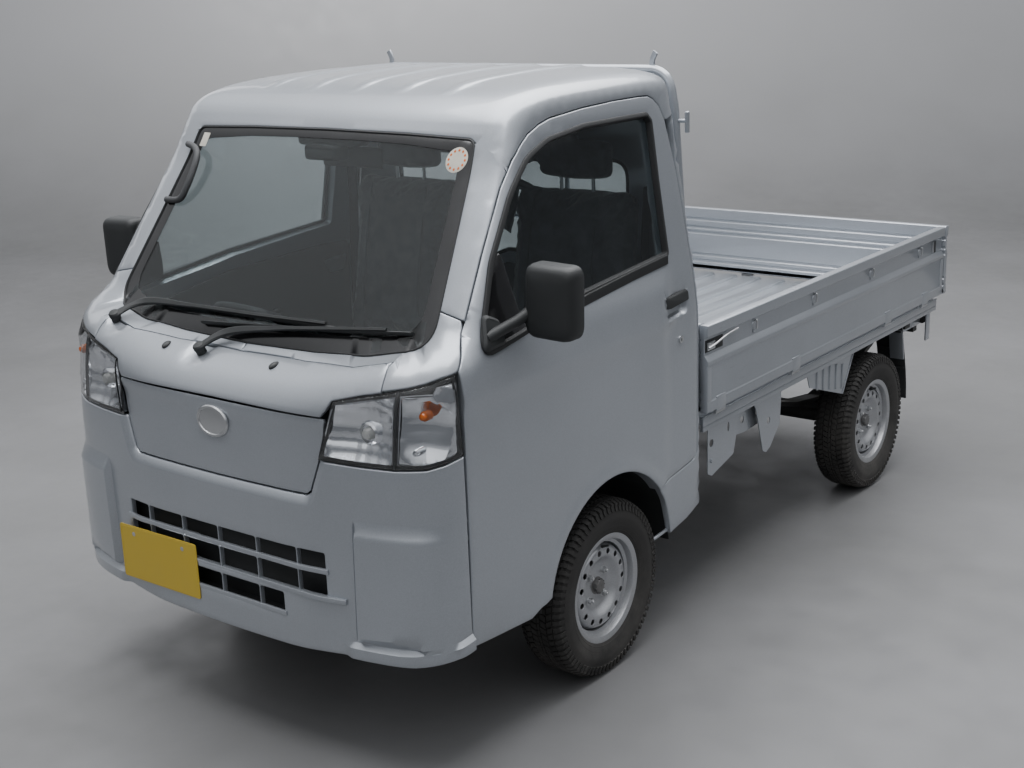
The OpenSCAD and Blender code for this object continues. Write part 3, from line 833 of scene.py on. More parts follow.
def cloth_finish(name, colour, pitch=1700.0):
    m, t, b = finish(name, colour, 0.92, 0.0, Sheen_Weight=0.35, Sheen_Roughness=0.5)
    w = place_group(t, "Weave", Pitch=pitch)
    dark, light = tuple(c * 0.7 for c in colour), tuple(min(1, c * 1.35) for c in colour)
    t.links.new(blend_colour(t, remap(t, w.outputs["Shade"], 0.75, 1.2), dark, light), b.inputs["Base Color"])
    bump(t, b, w.outputs["Height"], 0.5, 0.0006)
    return m


MAT = {}


def build_finishes():
    f = setting("truck_finish")
    build_groups()
    paint, black = tuple(f.paint), tuple(f.plastic)
    MAT["paint"] = paint_finish("silver_paint", paint)
    MAT["bed_paint"] = paint_finish("bed_paint", paint, rough=0.36, dust=0.5, top=0.9, scuff=0.45)
    # painted shade: the body paint darkened to 0.8 for the door hinges, which sit in the shaded jamb
    MAT["jamb_paint_painted_shade"] = paint_finish("jamb_paint_painted_shade", tuple(c * 0.8 for c in paint), rough=0.42, coat=0.3,
                                      dust=0.2)
    MAT["wheel"] = paint_finish("wheel_paint", (0.47, 0.48, 0.50), rough=0.34, metal=0.75, coat=0.25, dust=0.75,
                                top=0.5, sparkle=0.3, scuff=0.3)
    MAT["black"] = plastic_finish("black_plastic", black)
    MAT["gloss"] = plastic_finish("gloss_black", (0.012, 0.012, 0.013), rough=0.18, scale=60.0, strength=0.03,
                                  Coat_Weight=0.5)
    MAT["seal"] = plastic_finish("rubber_seal", (0.016, 0.017, 0.018), rough=0.62, scale=500.0, strength=0.12)
    MAT["trim"] = plastic_finish("grey_trim", (0.055, 0.057, 0.06), rough=0.6, scale=800.0)
    MAT["tyre"] = plastic_finish("tyre_rubber", (0.026, 0.025, 0.024), rough=0.72, scale=480.0, strength=0.35,
                                 dust=0.8, top=0.55)
    MAT["chassis"] = paint_finish("chassis_black", (0.030, 0.031, 0.032), rough=0.5, metal=0.1, coat=0.1,
                                  dust=0.55, top=0.75, sparkle=0.05, scuff=0.5)
    MAT["cast"] = metal_finish("cast_metal", (0.26, 0.26, 0.26), rough=0.55, amount=0.7, dust=0.8)
    MAT["steel"] = metal_finish("bare_steel", (0.42, 0.42, 0.41), rough=0.38, amount=0.6, dust=0.5)
    MAT["zinc"] = metal_finish("zinc_steel", (0.62, 0.63, 0.64), rough=0.3, amount=0.5, dust=0.3, top=1.2)
    MAT["chrome"] = metal_finish("bright_reflector", (0.86, 0.87, 0.89), rough=0.07, amount=0.1, dust=0.0)
    MAT["glass"] = glass_finish("window_glass", (0.70, 0.76, 0.77))
    MAT["lens"] = glass_finish("lamp_lens", (0.97, 0.98, 0.99), rough=0.02)
    MAT["amber"] = plastic_finish("amber_cover", (0.60, 0.13, 0.01), rough=0.2, scale=300.0, strength=0.05,
                                  Coat_Weight=0.6)
    MAT["red"] = plastic_finish("red_cover", (0.42, 0.01, 0.01), rough=0.16, scale=260.0, strength=0.2,
                                Coat_Weight=0.8)
    MAT["white"] = plastic_finish("pale_plastic", (0.62, 0.62, 0.60), rough=0.45, scale=400.0, strength=0.08)
    MAT["card"] = plastic_finish("sticker", (0.58, 0.55, 0.48), rough=0.7, scale=500.0, strength=0.1, dust=0.0)
    MAT["plate"] = paint_finish("plate_yellow", tuple(f.plate), rough=0.42, metal=0.0, coat=0.2, sparkle=0.03)
    MAT["cloth"] = cloth_finish("seat_cloth", tuple(f.cloth))
    MAT["liner"] = cloth_finish("roof_lining", (0.42, 0.42, 0.40), 2600.0)
    MAT["floor_mat"] = plastic_finish("floor_mat", (0.035, 0.036, 0.038), rough=0.8, scale=240.0, strength=0.6)


# ---------- outlines of the cab's pieces, on its skin ----------

SIDE = Chart((1, 0, 0))
PILLAR = Chart((0.62, -0.78, 0.1), (0, -800, 1050))
FACE = Chart((0, -1, 0), (0, -700, 700))
LAMP = Chart((0.6, -0.8, 0), (0, -1000, 950))
CORNER = Chart((0.72, 0.69, 0), (0, -800, 1000))
ROOF = Chart((0, 0, 1), (0, -760, 1000))
REAR = Chart((0, 1, 0))

DOOR = np.array([
    [-1513, 355], [-1509, 572], [-1507, 1000], [-1507, 1088], [-1480, 1118], [-1421, 1190], [-1321, 1335],
    [-1211, 1489], [-1155, 1555], [-1112, 1590], [-1073, 1614], [-1020, 1633], [-965, 1645], [-808, 1657],
    [-653, 1662], [-511, 1662], [-470, 1660], [-445, 1650], [-420, 1629], [-398, 1583], [-379, 1450],
    [-371, 1309], [-368, 1096], [-367, 837], [-369, 560], [-383, 538], [-589, 508],
])
ARCH_Z, ARCH_R = 295.0, 326.0
WINDOW = fillet([[-1425, 1106], [-1311, 1319], [-1190, 1477], [-1100, 1554], [-999, 1590], [-821, 1609],
                 [-500, 1609], [-482, 1590], [-493, 1417], [-500, 1201], [-944, 1171]],
                [26, 300, 300, 160, 200, 300, 12, 12, 300, 16, 300])
SHIELD = fillet([[0, 1078], [250, 1083], [430, 1094], [612, 1128], [532, 1606], [300, 1613], [0, 1616],
                 [-300, 1613], [-532, 1606], [-612, 1128], [-430, 1094], [-250, 1083]],
                [0, 400, 400, 62, 30, 0, 0, 0, 30, 62, 400, 400], 8)


def arch_points(start=200.0, end=-20.0, r=ARCH_R, n=26):
    """Round of the front wheel house, from its front to its back, as (y, z)."""
    y = (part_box("tyre_front_left")[0][1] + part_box("tyre_front_left")[1][1]) / 2 / MM
    a = np.radians(np.linspace(start, end, n))
    return np.column_stack([y + r * np.cos(a), ARCH_Z + r * np.sin(a)])


def between(p, q, n=8):
    """Points on the skin between two points on it."""
    t = np.linspace(0, 1, n)[:, None]
    mid = np.asarray(p) * (1 - t) + np.asarray(q) * t
    return cast(mid + unit(mid - np.array([0, -800, 1000])) * 60, -unit(mid - np.array([0, -800, 1000])))


def flip_x(p):
    return p * [-1, 1, 1]


def make_outlines():
    """Every shared edge is made once, so that neighbouring panels meet."""
    e = {}
    door2d = np.vstack([DOOR, arch_points(38.7, 173)[:-1], [[-1262, 336]]])
    e["door"] = on_side(densify(door2d, 20))
    e["window"] = on_side(densify(WINDOW, 20))
    e["shield"] = on_front(densify(SHIELD, 20))
    half = e["shield"][e["shield"][:, 0] >= -1]
    # windshield edge from the middle of its foot up the side to the middle of its head
    foot = int(np.argmin(np.abs(half[:, 0]) + (half[:, 2] > 1300) * 1e4))
    half = np.roll(half, -foot, axis=0)
    if half[1, 2] > 1500:
        half = np.roll(half[::-1], 1, axis=0)
    e["shield_half"] = half
    top = int(np.argmin(np.linalg.norm(half[:, [0, 2]] - [524, 1598], axis=1)))
    e["shield_side"], e["shield_head"] = half[:top + 1], half[top:]
    door_front = on_side(densify(DOOR[3:10], 18, closed=False))
    cut = int(np.argmin(np.abs(door_front[:, 1] + 1180)))
    e["door_front"] = door_front[:cut + 1]
    door_top = on_side(densify(np.vstack([door_front[cut:, 1:], DOOR[10:20]]), 18, closed=False))
    e["door_top"] = door_top
    e["corner_seam"] = between(e["shield_side"][-1], door_top[0], 10)
    lamp_top = np.vstack([on_front([[421, 1006], [500, 1024], [561, 1036], [620, 1050], [668, 1063]]),
                          on_side([[-1545, 1076], [-1513, 1085]])])
    e["lamp_top"] = lamp_top
    e["lamp_low"] = np.vstack([on_front([[384, 850], [500, 848], [605, 848], [680, 852]]),
                               on_side([[-1565, 862], [-1513, 876]])])
    return e


EDGE = {}


def sizes():
    s = setting("truck_panels")
    return s.gap / MM, s.edge / MM


def seam(points, roll):
    return points, np.full(len(points), float(roll))


def ring_of(*runs):
    """Closed outline with a roll for each point, from runs of (points, roll)."""
    p = np.vstack([a for a, _ in runs])
    r = np.concatenate([b for _, b in runs])
    keep = np.linalg.norm(p - np.roll(p, 1, axis=0), axis=1) > 0.8
    return p[keep], r[keep]


class TRUCK_OT_roof(bpy.types.Operator):
    """Roof with pressed ribs along it, its lining inside and the lamp in the middle"""

    bl_idname = "truck.roof"
    bl_label = "Roof"

    def execute(self, context):
        gap, edge = sizes()
        s = setting("truck_panels")
        e = EDGE
        side = e["door_top"]
        last = side[-1]
        back_z = 1600.0
        down = on_side(densify([[last[1], last[2]], [-352, 1597]], 15, closed=False))
        rear = on_back(densify([[610, back_z], [0, back_z]], 30, closed=False))
        wrap = between(down[-1], rear[0], 6)
        half = [seam(e["shield_head"][::-1], edge * 0.7), seam(e["corner_seam"], 0), seam(side, edge),
                seam(down[1:], 0), seam(wrap[1:], 0), seam(rear[1:], 0)]
        p, r = np.vstack([a for a, _ in half]), np.concatenate([b for _, b in half])
        outline = np.vstack([p, flip_x(p)[::-1]]), np.concatenate([r, r[::-1]])
        keep = np.linalg.norm(outline[0] - np.roll(outline[0], 1, axis=0), axis=1) > 0.8
        outline = outline[0][keep], outline[1][keep]
        n = s.roof_ribs
        centres = (np.arange(n) - (n - 1) / 2) * 175.0
        height = s.rib_height / MM

        def ribs(q):
            x = np.abs(q[:, 0, None] - centres[None]).min(1)
            across = smooth((30 - x) / 16.0)
            along = smooth((q[:, 1] + 1065) / 90.0) * smooth((-395 - q[:, 1]) / 40.0)
            return height * across * along * (q[:, 2] > 1650)

        marks = []
        for c in centres:
            for d in (-30, -22, -14, 14, 22, 30):
                marks.append(on_top(densify([[c + d, -1066], [c + d, -394]], 24, closed=False)))
        sh = Shape().add(panel(ROOF, outline, thick=14, gap=gap, lift=ribs, lines=marks, grid=30))
        piece("roof_skin", sh, [MAT["paint"]], replaces=["roof_panel"], slot="silver_paint")
        # lining, a soft-edged board under the roof
        line = on_top(fillet([[-520, -1120], [520, -1120], [560, -420], [-560, -420]], 60))
        sh = Shape().add(panel(ROOF, line, thick=6, depth=24, roll=5, grid=60))
        sh.add(slab((-60, -800, 1712), (60, -700, 1726), 5), 1)
        piece("roof_lining", sh, [MAT["liner"], MAT["white"]])
        return {"FINISHED"}


class TRUCK_OT_front_frame(bpy.types.Operator):
    """Windshield pillars, cowl sides and cowl panel with its washer nozzles"""

    bl_idname = "truck.front_frame"
    bl_label = "Front frame"

    def execute(self, context):
        gap, edge = sizes()
        e = EDGE
        glass_side = e["shield_side"]
        door = e["door_front"]
        split_g = int(np.argmin(np.abs(glass_side[:, 2] - 1203)))
        split_d = int(np.argmin(np.abs(door[:, 2] - 1190)))
        across = between(glass_side[split_g], door[split_d], 8)
        # the pillar: up the glass, over to the door, down the door
        pillar = ring_of(seam(glass_side[split_g:], edge * 0.7), seam(e["corner_seam"][1:-1], 0),
                         seam(door[split_d:][::-1], edge), seam(across[::-1][1:-1], edge * 0.6))
        thin = on_front(densify([[560, 1103], [430, 1077], [250, 1066], [0, 1061]], 24, closed=False))
        # cowl side: foot of the pillar, round the lamp, and the thin strip below the glass
        foot = int(np.argmin(np.abs(glass_side[:, 0])))
        low = glass_side[foot:split_g + 1]
        cowl_seam = on_front(densify([[561, 1040], [555, 1074], [548, 1094], [551, 1103]], 14, closed=False))
        lamp = e["lamp_top"]
        lamp_out = lamp[lamp[:, 0] > 565]
        side = ring_of(seam(low, edge * 0.7), seam(across[1:-1], edge * 0.6), seam(door[:split_d][::-1], edge),
                       seam(lamp_out[::-1], edge), seam(cowl_seam, edge * 0.6), seam(thin[1:-1], edge * 0.5),
                       seam(thin[-1:], 0))
        sh = Shape()
        for o in (pillar, side):
            sh.pair(panel(PILLAR, o, thick=30, gap=gap * 0.6, grid=20, step=12))
        piece("pillar_skins", sh, [MAT["paint"]], replaces=["cab_front_frame"], slot="silver_paint")

        # cowl panel between the lamps, from the garnish up to the thin seam
        low_line = on_front(densify([[0, 962], [390, 959], [405, 975], [421, 1003]], 20, closed=False))
        lamp_in = lamp[lamp[:, 0] <= 565]
        half = np.vstack([low_line, lamp_in[1:], cowl_seam[1:], thin[1:]])
        outline = np.vstack([half, flip_x(half[1:-1])[::-1]])

        def dents(q):
            # shallow seats for the wiper pivots
            d = np.zeros(len(q))
            for x, z, w in ((-500, 1090, 46), (-135, 1050, 52)):
                r = np.sqrt(((q[:, 0] - x) / w) ** 2 + ((q[:, 2] - z) / 34.0) ** 2)
                d -= 9 * smooth((1 - r) / 0.45)
            return d

        rings = []
        for x, z, w in ((-500, 1090, 46), (-135, 1050, 52)):
            for k in (0.55, 0.78, 1.0):
                a = np.linspace(0, 2 * math.pi, 26)
                ring = np.column_stack([x + w * k * np.cos(a), np.minimum(z + 34 * k * np.sin(a), 1078)])
                rings.append(on_front(ring))
        sh = Shape().add(panel(Chart((0, -1, 0.45), (0, -1000, 850)), outline, thick=12, gap=gap * 0.6, grid=20,
                               lift=dents))
        piece("cowl_panel", sh, [MAT["paint"]], slot="silver_paint")
        # washer nozzles: small drops of black plastic
        sh = Shape()
        for x, z in ((-266, 1052), (160, 1048)):
            c = on_front([[x, z]])[0]
            n = skin_normal(c[None])[0]
            ang = np.arange(12) * 2 * math.pi / 12
            rows = []
            for k, (r, h) in enumerate(((11, -2), (11, 2), (8.5, 6), (4, 8.5))):
                u = unit(np.cross([0, 0, 1.0], n))
                w = np.cross(n, u)
                rows.append([c + n * h + u * r * math.cos(a) + w * (r * 1.5 * math.sin(a) - 2.5 * k) for a in ang])
            v = np.array(rows).reshape(-1, 3)
            f = [[i * 12 + j, i * 12 + (j + 1) % 12, (i + 1) * 12 + (j + 1) % 12, (i + 1) * 12 + j]
                 for i in range(3) for j in range(12)]
            f += [list(range(12))[::-1], list(range(36, 48))]
            sh.add((v, f))
        piece("washer_nozzles", sh, [MAT["black"]])
        return {"FINISHED"}


GARNISH = fillet(both([[0, 744], [334, 746], [348, 756], [380, 846], [403, 948], [400, 958], [0, 960]]),
                 [0, 12, 8, 60, 6, 4, 0, 4, 6, 60, 8, 12])
PLATE_SEAT = (-433, 352, -97, 523)


class TRUCK_OT_bumper(bpy.types.Operator):
    """Front bumper with its grille, raised corner blocks and lower lip"""

    bl_idname = "truck.bumper"
    bl_label = "Bumper and garnish"

    def execute(self, context):
        gap, edge = sizes()
        e = EDGE
        low = e["lamp_low"]
        side = on_side(densify([[-1513, 872], [-1512, 600], [-1511, 352]], 18, closed=False))
        foot = np.vstack([on_side([[-1511, 352], [-1560, 340]]),
                          on_front([[690, 330], [640, 320], [540, 318], [440, 318], [300, 308], [0, 304]])])
        rim = on_front(densify([[0, 744], [334, 746], [348, 756], [380, 844], [384, 849]], 16, closed=False))
        half = np.vstack([rim, low[1:], side[1:], foot[1:]])
        outline = np.vstack([half, flip_x(half[1:-1])[::-1]])
        holes = []
        columns = [(-386, -300), (-292, -152), (-144, -4), (4, 144), (152, 292), (300, 386)]
        for z0, z1 in ((544, 595), (476, 536)):
            holes += [(a, z0, b, z1) for a, b in columns]
        holes += [(a, 397, b, 456) for a, b in ((-236, -152), (-144, -4), (4, 144), (152, 236))]
        holes = [on_front(fillet([[a, z0], [b, z0], [b, z1], [a, z1]], 4, 2)) for a, z0, b, z1 in holes]

        def ramp(v):
            return np.clip(v, 0.0, 1.0)

        def relief(q):
            x, y, z = np.abs(q[:, 0]), q[:, 1], q[:, 2]
            arc = x + smooth((x - 640) / 90.0) * np.maximum(0, y + 1630)
            inner = 479 + (z - 372) * 0.027
            fade = 1 - smooth((y + 1615) / 80.0)
            block = np.minimum(ramp((arc - inner) / 8.0), np.minimum(ramp((703 - z) / 42.0), ramp((z - 369) / 5.0)))
            groove = 5.0 * ramp(1 - np.abs(arc - inner + 3) / 4.0) * ramp((700 - z) / 10.0) * (z > 372)
            lip = ramp((arc - 436) / 26.0) * ramp((364 + 0.25 * np.maximum(y + 1640, 0) - z) / 12.0)
            ledge = -16.0 * (1 - ramp(outline_distance(q[:, 0], z, GARNISH) / 24.0)) * (z < 850)
            x0, z0, x1, z1 = PLATE_SEAT
            seat = ramp(np.minimum(np.minimum(q[:, 0] - x0, x1 - q[:, 0]), np.minimum(z - z0, z1 - z)) / 3.0 + 1)
            return 18.0 * block * fade + 13.0 * lip + ledge - groove - seat * np.maximum(0, NOSE + 3.4 - y)

        marks = []
        for s in (1, -1):
            runs = [on_front(densify([[479 + d, 372], [488 + d, 706]], 14, closed=False)) for d in (-7, -3, 0, 8)]
            runs += [np.vstack([on_front(densify([[470, z], [690, z]], 14, closed=False)),
                                on_side(densify([[-1580, z], [-1514, z]], 14, closed=False))])
                     for z in (707, 703, 661, 657)]
            runs += [np.vstack([on_front(densify([[436, z], [600, z], [640, z + 3], [690, z + 13]], 12,
                                                 closed=False)),
                                on_side([[-1580, z + 15], [-1562, z + 20], [-1545, z + 24], [-1514, z + 32]])])
                     for z in (367, 364, 352, 349)]
            runs += [on_front(densify([[354 + d, 723 - d], [369 + d, 746 - d], [403 + d, 836]], 12, closed=False))
                     for d in (0, 3)]
            marks += [m if s > 0 else flip_x(m) for m in runs]
        marks += [on_front(densify([[-346, z], [346, z]], 14, closed=False)) for z in (720, 717)]
        x0, z0, x1, z1 = PLATE_SEAT
        marks.append(on_front(densify([[x0, z1], [x0, z0], [x1, z0], [x1, 470]], 14, closed=False)))
        sh = Shape().add(panel(FACE, outline, holes, thick=16, gap=gap, lift=relief, lines=marks, grid=20, step=13))
        piece("bumper_skin", sh, [MAT["paint"]], replaces=["front_bumper"], slot="silver_paint")

        # bars between the grille rows; the lower one runs on past the openings and fades out
        sh = Shape()
        for z, w, reach, proud in ((540, 5, 398, 1.5), (466, 8, 450, 5.0), (392, 4, 246, 1.0)):
            p = on_front(densify([[-reach, z], [reach, z]], 20, closed=False))
            out_ = proud * np.clip((reach - np.abs(p[:, 0])) / 60.0, -0.2, 1)
            behind = w + 0.3 + 3 * ((p[:, 0] > -434) & (p[:, 0] < -96))
            p[:, 1] = np.maximum(p[:, 1] - out_, NOSE + behind)
            sh.add(sweep(p, fillet([[-w, -14], [w, -14], [w * 0.8, 0], [-w, 0]], 1.5, 3)))
        piece("grille_bars", sh, [MAT["paint"]], slot="silver_paint")
        # dark duct behind the grille
        sh = Shape()
        sh.add(slab((-410, -1640, 380), (410, -1625, 620), 4))
        for z in (378, 612):
            sh.add(slab((-410, -1668, z), (410, -1630, z + 8), 2))
        for x in (-410, 402):
            sh.add(slab((x, -1660, 384), (x + 8, -1630, 612), 2))
        piece("grille_duct", sh, [MAT["black"]])

        # garnish: a flat panel set back behind the ledge, pressed round a blank oval badge
        shape = on_front(densify(GARNISH, 14))

        def emboss(q):
            x, z = q[:, 0], q[:, 2]
            u = np.maximum(np.abs(x) - 60, 0)
            d = np.where(z > 860, np.abs(np.abs(x) - 98), np.abs(np.hypot(u, z - 860) - 38))
            return smooth((12 - d) / 10.0) * 1.8 + 10 * smooth((z - 905) / 50.0)

        sh = Shape().add(panel(FACE, shape, thick=10, depth=16, gap=gap, roll=edge * 0.5, lift=emboss, grid=13))
        badge = on_front([[0, 893]])[0]
        rows = []
        ang = np.arange(48) * 2 * math.pi / 48
        for a, b, h in ((61, 45, 0), (61, 45, 4), (58, 42, 7.5), (53, 37, 7.5), (51, 35, 5), (30, 20, 6.5), (8, 5, 7)):
            rows.append(np.column_stack([a * np.cos(ang), np.full(48, badge[1] + 15 - h), 893 + b * np.sin(ang)]))
        v = np.vstack(rows)
        f = [[i * 48 + j, i * 48 + (j + 1) % 48, (i + 1) * 48 + (j + 1) % 48, (i + 1) * 48 + j]
             for i in range(6) for j in range(48)]
        f += [list(range(48))[::-1], list(range(288, 336))]
        sh.add((v, f), 1)
        piece("garnish_skin", sh, [MAT["paint"], MAT["zinc"]], replaces=["front_garnish"], slot="silver_paint")
        return {"FINISHED"}



class TRUCK_OT_sides(bpy.types.Operator):
    """Cab sides behind the doors and the rear wall with its window"""

    bl_idname = "truck.sides"
    bl_label = "Cab sides and rear wall"

    def execute(self, context):
        gap, edge = sizes()
        rear_door = DOOR[20:]
        top = on_side(densify([[-352, 1597], rear_door[0]], 15, closed=False))
        run = on_side(densify(rear_door, 16, closed=False))
        low = on_side(densify(np.vstack([arch_points(38.7, 7, n=12), [[-431, 352], [-352, 378]]]), 16, closed=False))
        back = on_back(densify([[698, 440], [700, 900], [690, 1100], [655, 1350], [610, 1600]], 30, closed=False))
        corner_low = between(low[-1], back[0], 5)
        corner_top = between(back[-1], on_side([[-352, 1597]])[0], 6)
        outline = ring_of(seam(top[1:], 0), seam(run[1:], edge), seam(low, edge), seam(corner_low[1:-1], edge),
                          seam(back, edge * 0.5), seam(corner_top[1:], 0))
        sh = Shape().pair(panel(CORNER, outline, thick=20, gap=gap * 0.6, grid=24, step=13))
        piece("cab_side_skins", sh, [MAT["paint"]], replaces=["cab_sides"], slot="silver_paint")
        # rear wall
        half = np.vstack([back[:, [0, 2]]])
        pts = np.vstack([[[0, 440]], half, [[0, 1600]]])
        outline = on_back(densify(np.vstack([pts, (pts[1:-1] * [-1, 1])[::-1]]), 30))
        roll = np.where(outline[:, 2] > 1599, 0.0, edge * 0.5)
        hole = on_back(densify(fillet([[-470, 1130], [470, 1130], [470, 1450], [-470, 1450]], 62), 24))

        def press(q):
            # long shallow swages below the window
            d = np.zeros(len(q))
            for z in (1030, 930, 830, 730):
                d += 5 * smooth((22 - np.abs(q[:, 2] - z)) / 12.0) * smooth((600 - np.abs(q[:, 0])) / 30.0)
            return -d

        marks = [on_back(densify([[-600, z + d], [600, z + d]], 40, closed=False))
                 for z in (1030, 930, 830, 730) for d in (-22, -10, 10, 22)]
        sh = Shape().add(panel(REAR, (outline, roll), [hole], thick=12, gap=gap * 0.4, grid=44, lift=press,
                               lines=marks, step=24))
        piece("rear_wall_skin", sh, [MAT["paint"]], replaces=["cab_rear_wall"], slot="silver_paint")
        seal = on_back(densify(fillet([[-470, 1130], [470, 1130], [470, 1450], [-470, 1450]], 62), 24))
        sh = Shape().add(sweep(seal + [0, -3, 0], fillet([[-9, -9], [9, -9], [9, 8], [-9, 8]], 4, 3), closed=True))
        piece("rear_window_seal", sh, [MAT["seal"]])
        inner = on_back(fillet([[-580, 760], [580, 760], [560, 1090], [-560, 1090]], 40))
        sh = Shape().add(panel(REAR, inner, thick=8, depth=20, roll=5, grid=60))
        piece("rear_wall_trim", sh, [MAT["trim"]])
        return {"FINISHED"}


class TRUCK_OT_doors(bpy.types.Operator):
    """Doors with their window, seals, handle, lock and inner trim"""

    bl_idname = "truck.doors"
    bl_label = "Doors"

    def execute(self, context):
        _, edge = sizes()
        e = EDGE
        arch_c = arch_points(90, 90, n=1)[0] - [0, ARCH_R]
        pull = fillet([[-562, 1008], [-424, 1014], [-417, 1088], [-556, 1086]], [26, 26, 12, 14])

        def relief(q):
            y, z = q[:, 1], q[:, 2]
            r = np.hypot(y - arch_c[0], z - ARCH_Z)
            lip = 5.0 * smooth((ARCH_R + 46 - r) / 30.0) * smooth((z - 300) / 60.0)
            d = outline_distance(y, z, pull)
            cup = -17.0 * smooth(-d / 15.0)
            bulge = 2.2 * smooth((outline_distance(y, z, pull_area) + 0.0) / -14.0)
            return lip * (q[:, 2] < 760) + cup - bulge * (d > 0)

        pull_area = fillet([[-580, 905], [-428, 915], [-405, 1100], [-574, 1100]], [30, 30, 20, 20])
        marks = [on_side(np.vstack([pull, pull[:1]]))]
        c = pull.mean(0)
        for k in (0.93, 0.86, 0.78):
            w = c + (pull - c) * [k, 1 - (1 - k) * 1.7]
            marks.append(on_side(np.vstack([w, w[:1]])))
        for r in (ARCH_R + 46, ARCH_R + 34, ARCH_R + 24, ARCH_R + 16):
            marks.append(on_side(arch_points(46, 168, r, 30)))
        skin = panel(SIDE, e["door"], [e["window"]], thick=42, gap=0.6, roll=edge, grid=24, step=12, lift=relief,
                     lines=marks)
        for side, sign in (("left", 1), ("right", -1)):
            body = side + "_door"
            flip = sign < 0
            node_name = "door_" + side
            sh = Shape().add(skin, 0, flip)
            piece(node_name + "_skin", sh, [MAT["paint"]], body, [node_name], "silver_paint")

            # window seals: outer frame channel and inner lip, wider along the belt
            win = e["window"]
            n = skin_normal(win)
            seal = win - n * 5
            sh = Shape().add(sweep(seal, fillet([[-12, -9], [9, -9], [9, 6], [-12, 6]], 4, 3), closed=True), 0, flip)
            belt = on_side(densify([[-1205, 1128], [-944, 1156], [-700, 1176], [-508, 1189]], 18, closed=False))
            bn = skin_normal(belt)
            sh.add(sweep(belt - bn * 0.5, fillet([[-8, -16], [9, -16], [8, 14], [-3, 14]], 4, 3)), 0, flip)
            piece(node_name + "_seals", sh, [MAT["seal"]], body)
            # black corner cover that carries the mirror
            tri = on_side(densify(fillet([[-1421, 1110], [-1212, 1122], [-1222, 1150], [-1268, 1345],
                                          [-1305, 1322]], [24, 12, 30, 14, 30]), 14))
            sh = Shape().add(panel(SIDE, tri, thick=14, depth=2, roll=4, grid=24, step=12), 0, flip)
            piece(node_name + "_corner", sh, [MAT["gloss"]], body)
            # handle flap, lock barrel, and the lock's seat
            flap = fillet([[-560, 1050], [-419, 1054], [-417, 1086], [-555, 1084]], [8, 8, 9, 10])
            p = on_side(flap)
            m = len(p)
            crown = p * [1, 0.985, 0.998] + (p.mean(0) - p) * [0, 0.06, 0.12] + [3.5, 0, 0]
            v = np.vstack([p - [24, 0, 0], p, crown])
            f = [[i + a * m, (i + 1) % m + a * m, (i + 1) % m + (a + 1) * m, i + (a + 1) * m]
                 for a in (0, 1) for i in range(m)] + [list(range(m))[::-1], [2 * m + i for i in range(m)]]
            sh = Shape().add((v, f), 0, flip)
            lock = on_side([[-467, 940]])[0]
            sh.add(lathe([(lock[0] - 8, 0.4), (lock[0] + 2.2, 0.4), (lock[0] + 2.2, 3), (lock[0] + 3.2, 8),
                          (lock[0] + 2.4, 11), (lock[0] - 8, 11.5)], (0, lock[1], lock[2]), "x", 32), 1, flip)
            sh.add(slab((lock[0] + 1.5, lock[1] - 1.2, lock[2] - 5), (lock[0] + 3, lock[1] + 1.2, lock[2] + 5), 0.4),
                   2, flip)
            piece(node_name + "_handle", sh, [MAT["black"], MAT["zinc"], MAT["black"]], body)
            # inner trim with armrest, pull and window winder
            x0 = 690
            board = fillet([[-1440, 420], [-1300, 420], [-1180, 640], [-640, 660], [-560, 560], [-420, 560],
                            [-400, 1130], [-960, 1110], [-1440, 1040]], 40)
            sh = Shape().add(prism(board, "x", x0 - 14, x0 + 2, 4, 2), 0, flip)
            sh.add(prism(fillet([[-1060, 800], [-620, 830], [-600, 868], [-1060, 850]], 14), "x", x0 - 62, x0 - 8,
                         7, 3), 1, flip)
            sh.add(tube([[x0 - 20, -1010, 905], [x0 - 52, -1000, 920], [x0 - 56, -900, 935], [x0 - 52, -800, 945],
                         [x0 - 20, -790, 940]], 10, 12), 1, flip)
            sh.add(lathe([(x0 - 18, 0.5), (x0 - 44, 0.5), (x0 - 46, 16), (x0 - 18, 22)], (0, -1120, 760), "x", 32),
                   1, flip)
            sh.add(tube([[x0 - 38, -1120, 760], [x0 - 46, -1090, 712], [x0 - 48, -1070, 680]], 8, 12), 1, flip)
            piece(node_name + "_trim", sh, [MAT["trim"], MAT["black"]], body)
            # hinges, in the body paint darkened to stand for the painted shade of the jamb
            x, y = 722, -1475
            sh = Shape()
            for z in (480, 880):
                sh.add(lathe([(z, 0.3), (z + 80, 0.3), (z + 80, 4.4), (z + 78, 5), (z + 2, 5), (z, 4.4)],
                             (x, y, 0), "z", 24), 0, flip)
                sh.add(slab((x - 12, y + 5, z + 8), (x - 6, y + 42, z + 72), 1.5), 0, flip)
            piece(node_name + "_hinges", sh, [MAT["jamb_paint_painted_shade"]], body)
        return {"FINISHED"}


